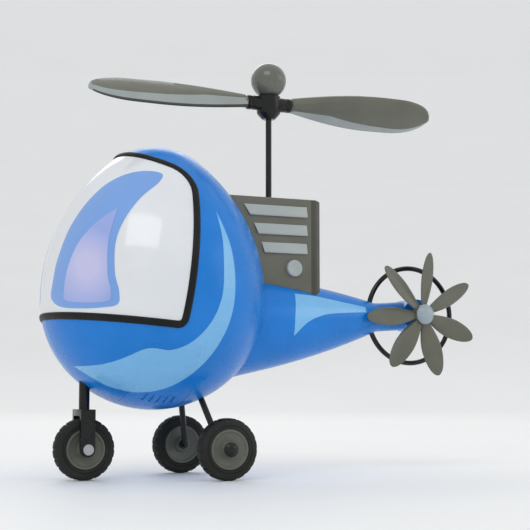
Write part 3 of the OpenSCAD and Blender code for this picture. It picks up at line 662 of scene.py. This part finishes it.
def build_seal():
    """A soft-edged rubber bead that follows the windscreen's edge right round the pod."""
    outline = screen_outline(0.1)
    corner, brow = outline[:-2], outline[-2]
    sill = edge_to_middle(corner[0], outline[-1], 40)
    crown = edge_to_middle(corner[-1], brow, 40)
    port = filled_in(list(reversed(sill)) + corner[1:-1] + crown, MM)
    loop = [skin_point(x, z, PORT) for x, z in port]
    loop += [skin_point(x, z, STARBOARD) for x, z in reversed(port[1:-1])]
    section = [(-1.7, -0.5), (-1.7, 0.1), (-1.55, 0.45), (-1.2, 0.7), (-0.6, 0.86), (0, 0.9),
               (0.6, 0.86), (1.2, 0.7), (1.55, 0.45), (1.7, 0.1), (1.7, -0.5)]
    path = evenly(loop, 420)
    rings = []
    for i, p in enumerate(path):
        tangent = (path[(i + 1) % len(path)] - path[i - 1]).normalized()
        normal = skin_normal(p)
        across = normal.cross(tangent).normalized()
        rings.append([p + across * a * MM + normal * b * MM for a, b in section])
    seal = loft("screen_bead", rings, closed=True, angle=60)
    place(seal, RUBBER, "black_rubber", "airframe", "windscreen_seal")


build_case()
build_screen()
build_door()
build_seal()

# ---------- Painted highlights and reflections, laid on as thin prints ---


def spline(points, steps=8):
    """A closed smooth curve through the points. A point given with a third value is a sharp corner."""
    count = len(points)
    curve = []
    for i in range(count):
        p0, p1, p2, p3 = (points[(i + k) % count] for k in (-1, 0, 1, 2))
        a, b, c, d = (Vector(p[:2]) for p in (p0, p1, p2, p3))
        out = Vector((0, 0)) if len(p1) > 2 else (c - a) * 0.5
        back = Vector((0, 0)) if len(p2) > 2 else (d - b) * 0.5
        for k in range(steps):
            t = k / steps
            ends = b * (2 * t ** 3 - 3 * t ** 2 + 1) + out * (t ** 3 - 2 * t ** 2 + t)
            curve.append(tuple(ends + c * (3 * t ** 2 - 2 * t ** 3) + back * (t ** 3 - t ** 2)))
    return curve


PRINT = 0.12 * MM       # how proud of the skin a print lies
PRINT_FOOT = 0.01 * MM


def painted_light_on(skin, name, outline, finish, slot, proud):
    """A painted highlight or reflection on both sides, as a print: a thin layer of the pod or the boom, cut
    to an outline.
    """
    for side, tag in SIDES:
        patch = skin(name + "_" + tag, proud)
        cut(patch, skin("print_foot", PRINT_FOOT))
        ends = (-0.1, 0.0) if side == PORT else (0.0, 0.1)
        cut(patch, prism("print_edge", outline, *ends), operation="INTERSECT")
        place(patch, finish, slot, "airframe")


def egg_painted_light(name, points, finish, slot="screen_plastic", proud=PRINT):
    """Points are in millimetres from the pod's middle, seen from the side."""
    painted_light_on(egg, name, mm(*spline(points), at=(POD.x, POD.z)), finish, slot, proud)


def boom_painted_light(name, points, finish):
    """Points are in millimetres along the boom's axis and across it."""
    across = Vector((-BOOM_AXIS.z, 0, BOOM_AXIS.x))
    spots = [BOOM_FROM + BOOM_AXIS * t * MM + across * h * MM for t, h in spline(points)]
    painted_light_on(boom, name, [(p.x, p.z) for p in spots], finish, "blue_plastic", PRINT)


# A third value marks a sharp corner
# Outlines of painted highlights on the pod and on the boom
CRESCENT = [(15, 40, 0), (20.5, 23), (21.5, 4), (19, -11), (13.5, -23.5), (6, -33.5), (-4, -41),
            (-15, -43.5), (-26, -41.5), (-34, -37.5), (-42, -31.5, 0), (-35, -31), (-28, -28.5),
            (-20.5, -24.5), (-16, -23.8), (-8, -24.5), (1, -20.5), (9, -11.5), (14, 0.5), (15.5, 16),
            (16, 28)]
WEDGE = [(12.5, 13.5, 0), (25, 11.8), (40, 8.6), (56, 5.4, 0), (55.6, 2.6, 0), (42, 2.8), (28, 2.3),
         (17, -1), (8.5, -7.5, 0), (9.4, 2)]
# Outlines of a painted reflection on the windscreen, and of a painted highlight inside it
REFLECTION = [(-8, 57.5), (-10, 53), (-20, 44.5), (-28, 34), (-32.5, 23), (-33.5, 10), (-32, 1),
              (-32.5, -4.5), (-38, -5.8), (-44.5, -6), (-50.5, -5), (-53, -1.5), (-53, 5), (-51, 17.5),
              (-46, 32), (-38, 45), (-28, 54.5), (-17, 58.5)]
REFLECTION_INNER = [(-29.5, 40, 0), (-38, 33.5), (-45, 24), (-49, 12.5), (-50.3, 2), (-49.6, -2.2), (-43.5, -3.5),
        (-36.2, -3), (-35, 0.5), (-36.2, 10), (-34.8, 25)]


def painted_reflection_finish():
    """Painted reflection in lilac, with a painted highlight: paler towards a soft spot in the middle."""
    made = Finish("painted_reflection_lilac", srgb(152, 172, 230), 0.2, coat=0.5).mottle(0.02, 40)

    def step(operation, source, *numbers):
        node = made.node("ShaderNodeVectorMath")
        node.operation = operation
        made.link(source, node.inputs[0])
        if numbers:
            node.inputs[1].default_value = numbers
        return node.outputs

    offset = step("SUBTRACT", made.place, POD.x - 43 * MM, 0, POD.z + 13 * MM)
    flat = step("MULTIPLY", offset[0], 1, 0, 0.62)      # taller than it is long
    distance = step("LENGTH", flat[0])["Value"]
    share = made.spread(distance, 0, 1, 3 * MM, 12 * MM)
    # Painted highlight: pale lilac in the middle, fading out to the lilac
    made.link(made.mix(share, srgb(200, 198, 236), made.base), made.shader.inputs["Base Color"])
    return made.gloss(0.04, 160).bump(0.03, 300)


# Painted highlights on both sides of the pod and the boom
egg_painted_light("pod_flash", CRESCENT, HIGHLIGHT_BLUE, "blue_plastic")
boom_painted_light("boom_flash", WEDGE, HIGHLIGHT_BLUE)
# Painted reflection on both sides of the windscreen, with a painted highlight inside it
egg_painted_light("screen_flash", REFLECTION, REFLECTION_BLUE)
egg_painted_light("screen_glow", REFLECTION_INNER, painted_reflection_finish(), proud=2 * PRINT)

# ---------- Engine block ----------

SLAT_PITCH, SLAT_HEIGHT = 9.2 * MM, 5.4 * MM
SLAT_FRONT, SLAT_REAR = -40 * MM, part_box("louvres_left")[1].x - 0.5 * MM
SLATS_Z = [130.3 * MM - SLAT_PITCH * i for i in range(3)]
BUSH_R = 3.02 * MM
# Painted shade: width of the darker olive along the rear of the block's sides
SHADE_STRIP_WIDE = 7 * MM         # the darker strip along the rear edge


def build_block():
    """The louvred box: thin walls with rounded edges, cut to sit on the pod and the boom, with painted shade
    in a darker olive along the rear of its sides.
    """
    half, rear, top = -BLOCK_LOW.y, BLOCK_HIGH.x, BLOCK_HIGH.z
    chamfer = 4 * MM
    plan = [(BLOCK_FRONT, -half), (rear - chamfer, -half), (rear, -half + chamfer), (rear, half - chamfer),
            (rear - chamfer, half), (BLOCK_FRONT, half)]
    block = bevel(prism("engine_cover", plan, 80 * MM, top, "Z"), 0.9 * MM, 4)
    for x, y in ((rear - 2 * MM, half - 4 * MM), (rear - 4.5 * MM, half - 2 * MM)):
        cut(block, box("inside", (BLOCK_FRONT - 2 * MM, -y, 79 * MM), (x, y, top - 2 * MM)))
    cut(block, egg("pod_gap", GAP), boom("boom_gap", GAP))
    mast = middle("mast")
    cut(block, lathe("bush_hole", pin(BUSH_R, 0, 0.2), (mast.x, 0, 0.05)))
    cut(block, bar_y("button_hole", BUTTON.x, BUTTON.z, 4.3 * MM, -0.03, -10 * MM))
    play = 0.1 * MM
    for z in SLATS_Z:
        for side in (PORT, STARBOARD):
            low, high = sorted((side * (half - 3 * MM), side * (half + 3 * MM)))
            slot = box("slot", (SLAT_FRONT, low, z - SLAT_HEIGHT / 2 - play),
                       (SLAT_REAR + play, high, z + SLAT_HEIGHT / 2 + play))
            cut(slot, egg("slot_front", 3.9 * MM))
            cut(block, slot)
    ring = [(BUSH_R, 0), (5 * MM, 0), (5 * MM, 3 * MM), (BUSH_R, 3 * MM)]
    cut(block, lathe("bush_boss", ring, (mast.x, 0, top - 4.5 * MM)), operation="UNION")
    place(block, OLIVE, "olive_plastic", "airframe", "engine_housing")
    # Painted shade: the rear of the block's sides, below the top, takes the darker olive
    block.data.materials.append(SHADE_OLIVE.material)
    edge = rear - SHADE_STRIP_WIDE
    bm = bmesh.new()
    bm.from_mesh(block.data)
    everything = bm.verts[:] + bm.edges[:] + bm.faces[:]
    bmesh.ops.bisect_plane(bm, geom=everything, plane_co=(edge, 0, 0), plane_no=(1, 0, 0))
    bm.to_mesh(block.data)
    bm.free()
    for face in block.data.polygons:
        face.material_index = 1 if face.center.x > edge and face.center.z < top - 0.3 * MM else 0


def build_slats():
    """Three sloped slats a side on a backing plate, cut to the pod's curve in front."""
    half = -BLOCK_LOW.y
    for (side, tag), node in zip(SIDES, ("louvres_left", "louvres_right")):
        parts = []
        for z in SLATS_Z:
            low, high = z - SLAT_HEIGHT / 2, z + SLAT_HEIGHT / 2
            section = mm((-1.5, 0), (0.9, 0), (1.2, 0.6), at=(half, low))
            section += mm((0.2, 0), (-1.5, 0), at=(half, high))
            ends = [[Vector((x, side * y, h)) for y, h in section] for x in (SLAT_FRONT, SLAT_REAR)]
            bar = loft("bar", ends, angle=20)
            cut(bar, egg("slat_front", 4 * MM))
            parts.append(bevel(bar, 0.25 * MM, 3))
        low, high = sorted((side * (half - 2.9 * MM), side * (half - 2.05 * MM)))
        parts.append(box("backing", (-9 * MM, low, 108 * MM), (15 * MM, high, 134 * MM)))
        place(join("slats_" + tag, *parts), PALE, "pale_plastic", "airframe", node)


def build_button():
    """A domed knob with a shallow dish, a flange and a stem."""
    low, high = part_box("power_button")
    r, length = 4.2 * MM, high.y - low.y
    dish = mm((0, 0.5), (2.2, 0.35), (3.0, 0.05), (3.4, 0))
    rim = mm((-0.3, 0.12), (-0.08, 0.4), (0, 0.8), (0, 4.2), (0.8, 4.2), (0.8, 5.2), at=(r, 0))
    stem = [(1.5 * MM, 5.2 * MM), (1.5 * MM, length), (0, length)]
    knob = lathe("knob", dish + rim + stem, (BUTTON.x, low.y, BUTTON.z), "Y")
    place(knob, PALE, "pale_plastic", "button", "power_button")


build_block()
build_slats()
build_button()

# ---------- Main rotor ----------

BLADE_PITCH, BLADE_TWIST = 42, 6        # degrees: the pitch at the root, and how much less at the tip
BLADE_ROOT = 13 * MM
BLADE_CHORD, BLADE_T = 23 * MM, 6 * MM
# Painted highlight on the slope strips, painted shade on the wall strips
HIGHLIGHT_STRIPS, SHADE_STRIPS = (5, 10), (6, 7, 8, 9)       # sides of the section with their own colours
# The tip's end is all in the painted highlight
TIP_FROM = 0.985        # share of the length from which the tip is all in the edge's colour


def leaf(s):
    """Share of the full chord at share s of the blade's length."""
    tip = max(0.02, 1 - (max(0, s - 0.72) / 0.28) ** 2.4)
    return (0.34 + 0.66 * math.sin(math.pi / 2 * min(1, s / 0.62))) * math.sqrt(tip)


def blade_section(x, chord, thick, pitch, band):
    """A flat-faced blade section: a wide slope along the low edge above a blunt wall, a thin high edge."""
    c, t = chord / 2, thick / 2
    band = min(band, c * 0.8)
    flat = [(-c, 0.1 * t), (-c + 0.06 * c, 0.55 * t), (-c + 0.2 * c, 0.85 * t), (-0.3 * c, t),
            (c - band - 0.3 * MM, t), (c - band, 0.96 * t), (c - 0.06 * c, 0.3 * t), (c - 0.02 * c, 0.2 * t),
            (c, 0.05 * t), (c - 0.02 * c, -0.2 * t), (c - 0.06 * c, -0.3 * t), (c - band, -0.96 * t),
            (c - band - 0.3 * MM, -t), (-0.3 * c, -t), (-c + 0.2 * c, -0.85 * t), (-c + 0.06 * c, -0.45 * t)]
    cos, sin = math.cos(math.radians(pitch)), math.sin(math.radians(pitch))
    return [Vector((x, y * cos - z * sin, y * sin + z * cos)) for y, z in flat]


def build_blade(name, node, turn):
    """Olive faces; the slope and the tip's edge are painted light grey as a highlight, the blunt wall
    between them painted dark as shade.
    """
    rotor_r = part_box(node)[1].x if turn == 0 else -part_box(node)[0].x
    rings, shares = [], []
    steps = 56
    for i in range(steps + 1):
        s = 1 - (1 - i / steps) ** 1.5
        x = BLADE_ROOT + (rotor_r - BLADE_ROOT) * s
        thick = (BLADE_T - 1.2 * MM * s) * min(1, 0.5 + 0.5 * math.sqrt(max(0, 1 - s)) * 2.2)
        band = (8.2 - 4.4 * s) * MM
        pitch = BLADE_TWIST * s - BLADE_PITCH
        rings.append(blade_section(x, BLADE_CHORD * leaf(s) * 0.995, thick, pitch, band))
        shares.append(s)
    blade = paint(loft(name, rings, angle=24), BLADE, HIGHLIGHT_GREY, SHADE_OLIVE)
    size = len(rings[0])
    for face in blade.data.polygons:
        strip, ring = face.index % size, face.index // size
        if ring >= steps or shares[ring] > TIP_FROM or strip in HIGHLIGHT_STRIPS:
            face.material_index = 1
        elif strip in SHADE_STRIPS:
            face.material_index = 2
    stub = mm((0, 0), (1.85, 0), (1.85, 6.75), (2.9, 7), (2.9, 9), (0, 9))
    cut(blade, lathe("root", stub, (5.3 * MM, 0, 0), "X", 48), operation="UNION", angle=24)
    blade.data.transform(Matrix.Translation(BLADES_AT) @ Matrix.Rotation(math.radians(turn), 4, "Z"))
    settle(blade, "olive_plastic", "main_rotor", node)


def build_rotor_head():
    """Mast with a chamfered top, a hub with two clamped sockets, and the ball that caps it."""
    low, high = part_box("mast")
    r, chamfer = (high.x - low.x) / 2, 0.3 * MM
    mast = [(0, low.z), (r - chamfer, low.z), (r, low.z + chamfer), (r, high.z - chamfer),
            (r - chamfer, high.z), (0, high.z)]
    place(lathe("mast_rod", mast, segments=64), LACQUER, "black_steel", "main_rotor", "mast")

    z, bore_r = BLADES_AT.z, r + 0.01 * MM
    drum = lathe("rotor_head", mm((0, -8), (3.2, -8), (3.45, -7.8), (5.8, -5.2), (6, -4.6), (6, 3.5),
                                  (5.6, 3.95), (5.2, 4), (0, 4), at=(0, z)))
    sleeve = mm((0, -12), (3.3, -12), (3.6, -11.7), (3.6, -10), (3.3, -9.7), (3.3, -9.1), (3.6, -8.8),
                (3.6, 8.8), (3.3, 9.1), (3.3, 9.7), (3.6, 10), (3.6, 11.7), (3.3, 12), (0, 12))
    cut(drum, lathe("sleeve", sleeve, (0, 0, z), "X", 64), operation="UNION")
    bevel(drum, 0.35 * MM, 3, 40)
    cut(drum, lathe("bore", pin(bore_r, 0, 1), segments=64))
    for x0, x1 in ((-14 * MM, -5 * MM), (5 * MM, 14 * MM)):
        cut(drum, lathe("socket", pin(2 * MM, x0, x1), (0, 0, z), "X", 64))
    place(drum, BLACK, "black_plastic", "main_rotor", "rotor_hub")

    low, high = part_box("rotor_ball")
    ball_r = (high.x - low.x) / 2
    centre = high.z - ball_r
    base = low.z + 0.02 * MM
    start = math.degrees(math.asin((base - centre) / ball_r))
    outline = [(0, base)] + arc((0, centre), ball_r * 0.999, start, 90, 60)
    outline[-1] = (0, outline[-1][1])
    knob = bevel(lathe("knob_ball", outline, segments=128), 0.4 * MM, 3, 40)
    cut(knob, lathe("bore", pin(bore_r, 0.1, z + 10 * MM), segments=64))
    place(knob, BALL, "black_plastic", "main_rotor", "rotor_ball")


build_blade("blade_rear", "rotor_blade_rear", 0)
build_blade("blade_front", "rotor_blade_front", 180)
build_rotor_head()

# ---------- Tail ----------


def tube(name, path, radius, closed=False, segments=48):
    """A round bar swept along a path of points."""
    rings, side = [], None
    count = len(path)
    for i, p in enumerate(path):
        ahead = path[(i + 1) % count] if closed or i + 1 < count else p
        behind = path[i - 1] if closed or i > 0 else p
        along = (ahead - behind).normalized()
        if side is None:
            side = along.orthogonal().normalized()
        side = (side - along * side.dot(along)).normalized()
        up = along.cross(side)
        rings.append([p + (side * math.cos(a) + up * math.sin(a)) * radius
                      for a in (2 * math.pi * j / segments for j in range(segments))])
    return loft(name, rings, closed)


FAN_BLADES, FAN_TURN = 7, -29.5         # how many, and where the first one points, in degrees
FAN_ROOT, FAN_TIP = 3.6, 32.9           # distances from the axis in millimetres
FAN_CHORD = 10.5 * MM
CAP_R = 6 * MM


def petal_ring(s):
    """The leaf blade's lens-shaped section at share s of its length."""
    chord = FAN_CHORD * (0.35 + 0.65 * math.sin(math.pi / 2 * min(1, s / 0.55)))
    chord *= math.sqrt(max(0.01, 1 - (max(0, s - 0.5) / 0.5) ** 2)) * 0.99
    thick = (1.9 - 0.7 * s) * MM * min(1, 0.35 + math.sqrt(1 - s))
    pitch = math.radians(28 - 6 * s)
    cos, sin = math.cos(pitch), math.sin(pitch)
    ring, corners = [], 16
    for j in range(corners):
        q = 2 * math.pi * j / corners
        y = chord / 2 * math.cos(q)
        z = thick / 2 * math.copysign(abs(math.sin(q)) ** 0.8, math.sin(q))
        x = (FAN_ROOT + (FAN_TIP - FAN_ROOT) * s) * MM
        ring.append(Vector((x, y * cos - z * sin, y * sin + z * cos)))
    return ring


def build_fan():
    """Seven leaf blades on a turned hub, and the domed cap over it."""
    hub = mm((1.0, -2.7), (4.6, -2.7), (5, -2.3), (5, 2.3), (4.6, 2.7), (1.0, 2.7))
    fan = lathe("fan", hub, axis="Y")
    steps = 32
    rings = [petal_ring(1 - (1 - i / steps) ** 1.6) for i in range(steps + 1)]
    for k in range(FAN_BLADES):
        blade = loft("petal", rings, angle=30)
        turn = Matrix.Rotation(math.radians(360 / FAN_BLADES * k + FAN_TURN), 4, "Y")
        blade.data.transform(turn @ Matrix.Rotation(-math.pi / 2, 4, "X"))
        cut(fan, blade, operation="UNION", angle=30)
    fan.data.transform(Matrix.Translation((TAIL.x, FAN.y, TAIL.z)))
    place(fan, BLADE, "olive_plastic", "tail_rotor", "tail_fan")

    seat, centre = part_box("tail_cap")[1].y, FAN.y + 0.1 * MM
    dome = [(r * 0.999, h - centre) for r, h in arc((0, 0), CAP_R, 0, 90, 48) if h - centre > -seat]
    dome[-1] = (0, dome[-1][1])
    foot = (math.sqrt(CAP_R ** 2 - (centre - seat) ** 2) * 0.999, -seat)
    cap = lathe("fan_cap", [(r, -h) for r, h in [(0, -seat), foot] + dome], TAIL_AT, "Y")
    bevel(cap, 0.3 * MM, 3, 40)
    cut(cap, bar_y("cap_bore", TAIL.x, TAIL.z, 1.01 * MM, FAN.y - 4.6 * MM, 0))
    place(cap, CAP, "pale_plastic", "tail_rotor", "tail_cap")


def build_hoop():
    """The hoop of round bar behind the fan, with the CAD's own sizes."""
    low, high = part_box("tail_hoop")
    bar = (high.y - low.y) / 2
    r, steps = (high.z - low.z) / 2 - bar, 180
    angles = [2 * math.pi * i / steps for i in range(steps)]
    path = [Vector((TAIL.x + r * math.cos(a), 0, TAIL.z + r * math.sin(a))) for a in angles]
    place(tube("hoop", path, bar, closed=True), LACQUER, "black_plastic", "airframe", "tail_hoop")


build_fan()
build_hoop()

# ---------- Wheels and legs ----------

AXLE_HOLE = 1.52 * MM


def both_faces(half):
    """The outline of a turned part that is the same on both faces."""
    return half + [(r, -h) for r, h in reversed(half)]


def build_wheel(tag, tyre_node, rim_node, body):
    """A blunt-cornered tyre with cross grooves and side ribs, on a dished disc with a raised hub."""
    at = middle(tyre_node)
    low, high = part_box(tyre_node)
    r, w = (high.z - low.z) / 2, (high.y - low.y) / 2
    rim_low, rim_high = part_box(rim_node)
    rim_r = (rim_high.x - rim_low.x) / 2
    half = mm((0.02, -0.6), (0.25, -0.2), (0.8, -0.02), (1.2, -0.02), (1.4, -0.3), (1.7, -0.3),
              (1.9, -0.02), at=(rim_r, w))
    half += mm((-2.4, -0.02), (-1.4, -0.35), (-0.7, -0.85), (-0.25, -1.5), (-0.02, -2.3), at=(r, w))
    tyre = lathe("tyre_" + tag, both_faces(half), at, "Y", 160)
    count, grooves = 20, []
    for k in range(count):
        groove = box("groove", (r - 0.7 * MM, -w - MM, -0.6 * MM), (r + 2 * MM, w + MM, 0.6 * MM))
        turn = Matrix.Rotation(-2 * math.pi * k / count, 4, "Y")
        groove.data.transform(Matrix.Translation(at) @ turn)
        grooves.append(groove)
    cut(tyre, join("grooves", *grooves), angle=28)
    place(tyre, TYRE, "tyre_rubber", body, tyre_node)

    half = mm((1.55, 0), (3.2, 0), (3.6, -0.4), (3.6, -1.3), (4.0, -1.6), at=(0, w))
    half += mm((-1.9, -1.0), (-1.6, -0.85), (-1.2, -0.3), (-1.0, -0.2), (-0.3, -0.2), (-0.03, -0.5),
               at=(rim_r, w))
    disc = lathe("disc_" + tag, both_faces(half), at, "Y", 128)
    place(disc, DISC, "olive_plastic", body, rim_node)


def build_leg(side, tag, node):
    """One bent wire: down from the pod, a tight bend, then the axle; with its stop collar."""
    foot, top = leg_ends(side)
    low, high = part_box(node)
    end = Vector((foot.x, high.y if side > 0 else low.y, foot.z))
    bend, steps = 2.2 * MM, 12
    bend_from, bend_to = foot - (foot - top).normalized() * bend, foot + Vector((0, side, 0)) * bend
    path = [top + (foot - top) * k / steps for k in range(steps)]
    path.append(bend_from)
    for k in range(1, steps):
        t = k / steps
        path.append(bend_from * (1 - t) ** 2 + foot * 2 * t * (1 - t) + bend_to * t ** 2)
    path += [bend_to, end]
    wire = tube("leg_" + tag, path, 1.5 * MM)
    y0, y1 = sorted((foot.y + side * 1.8 * MM, foot.y + side * 2.6 * MM))
    cut(wire, bevel(bar_y("collar", foot.x, foot.z, 2.3 * MM, y0, y1), 0.15 * MM, 2), operation="UNION")
    place(wire, LACQUER, "black_steel", "airframe", node)


def build_axle_caps():
    """A domed cap on the end of each main axle."""
    low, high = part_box("axle_caps")
    dome_r, dome_from = 4.6 * MM, 42.3
    caps = []
    for side in (PORT, STARBOARD):
        outer = high.y if side > 0 else low.y
        centre = outer - side * dome_r
        seat = centre + side * 2.2 * MM
        shape = [(0, seat), (3.4 * MM, seat), (3.4 * MM, seat + side * 0.9 * MM)]
        shape += [(x, centre + side * h) for x, h in arc((0, 0), dome_r, dome_from, 90, 24)[1:]]
        shape[-1] = (0, shape[-1][1])
        cap = lathe("cap", shape, (WHEEL.x, 0, WHEEL.z), "Y")
        y0, y1 = sorted((seat - side * MM, seat + side * 1.32 * MM))
        cut(cap, bar_y("cap_bore", WHEEL.x, WHEEL.z, AXLE_HOLE, y0, y1))
        caps.append(cap)
    place(join("wheel_caps", *caps), BLACK, "black_plastic", "airframe", "axle_caps")


def build_fork():
    """The nose wheel's fork: a turned stem, a rounded bridge and two arms with round ends."""
    at = middle("tyre_nose")
    reach, stem_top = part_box("nose_fork")[1].yz
    over_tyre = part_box("tyre_nose")[1].z
    wide = 3.5 * MM
    arm_wide = wide - 0.001 * MM        # no faces in one plane with the bridge's
    fork = box("fork", (at.x - wide, -reach, over_tyre + MM), (at.x + wide, reach, over_tyre + 4 * MM))
    for side in (PORT, STARBOARD):
        y0, y1 = sorted((side * reach, side * (reach - 2 * MM)))
        arm = box("arm", (at.x - arm_wide, y0, at.z), (at.x + arm_wide, y1, over_tyre + 2 * MM))
        cut(fork, arm, bar_y("arm_end", at.x, at.z, wide, y0, y1, 96), operation="UNION")
    stem = lathe("stem", pin(2.5 * MM, 0.03, stem_top), (at.x, 0, 0), segments=64)
    cut(stem, box("below", (at.x - 0.02, -0.02, 0), (at.x + 0.02, 0.02, over_tyre + 3 * MM)))
    cut(fork, stem, operation="UNION")
    bevel(fork, 0.4 * MM, 3, 50)
    cut(fork, bar_y("axle_hole", at.x, at.z, AXLE_HOLE, -0.02, 0.02))
    place(fork, BLACK, "black_plastic", "airframe", "nose_fork")


build_wheel("port", "tyre_left", "rim_left", "wheel_left")
build_wheel("starboard", "tyre_right", "rim_right", "wheel_right")
build_wheel("nose", "tyre_nose", "rim_nose", "wheel_nose")
build_leg(PORT, "port", "leg_left")
build_leg(STARBOARD, "starboard", "leg_right")
build_axle_caps()
build_fork()

# ---------- Camera, light and stage ----------


def build_stage():
    """A wide, shallow bowl of pale paper: flat in the middle, with a rim that rises without an edge."""
    outline = [(0, 0)] + arc((1.2, 5), 5, -90, -36, 24)
    outline += [(4.2, 0.9), (1.2, -0.05), (0, -0.05)]
    floor = lathe("stage_floor", outline, segments=128, angle=60)
    backdrop = Finish("stage_paper", srgb(251, 251, 250), 0.6).mottle(0.006, 6).gloss(0.04, 30)
    paint(floor, backdrop)


def softbox(name, at, aim, width, height, power):
    """A rectangular lamp that faces the point it aims at."""
    light = bpy.data.lights.new(name, "AREA")
    light.shape = "RECTANGLE"
    light.size, light.size_y = width, height
    light.energy = power
    lamp = bpy.data.objects.new(name, light)
    lamp.location = at
    lamp.rotation_mode = "QUATERNION"
    lamp.rotation_quaternion = (aim - Vector(at)).to_track_quat("-Z", "Y")
    bpy.context.scene.collection.objects.link(lamp)


def build_lights():
    """Three soft lamps in a pale, even room."""
    aim = Vector((0, 0, 0.1))
    softbox("key", (-0.55, -0.75, 1.0), aim, 0.7, 0.5, 2.4)
    softbox("fill", (1.0, -0.6, 0.5), aim, 0.6, 0.5, 0.9)
    softbox("back", (0.3, 1.1, 0.9), aim, 0.9, 0.5, 2)
    scene, world = bpy.context.scene, bpy.data.worlds.new("studio")
    world.use_nodes = True
    background = world.node_tree.nodes["Background"].inputs
    background["Color"].default_value = srgb(236, 238, 240)
    background["Strength"].default_value = 0.9
    scene.world = world
    scene.view_settings.view_transform = "Standard"
    scene.view_settings.look = "None"


def build_camera():
    """Low, and a little in front of the port side."""
    azimuth, distance, eye = math.radians(-25), 0.65, 0.045
    target = Vector((-0.002, 0, 0.1045))
    camera = bpy.data.cameras.new("camera")
    camera.lens = 88
    camera.sensor_width = 36
    camera.clip_start, camera.clip_end = 0.01, 20
    body = bpy.data.objects.new("camera", camera)
    body.location = (target.x + distance * math.sin(azimuth), -distance * math.cos(azimuth), eye)
    body.rotation_mode = "QUATERNION"
    body.rotation_quaternion = (target - body.location).to_track_quat("-Z", "Y")
    bpy.context.scene.collection.objects.link(body)
    bpy.context.scene.camera = body


build_stage()
build_lights()
build_camera()
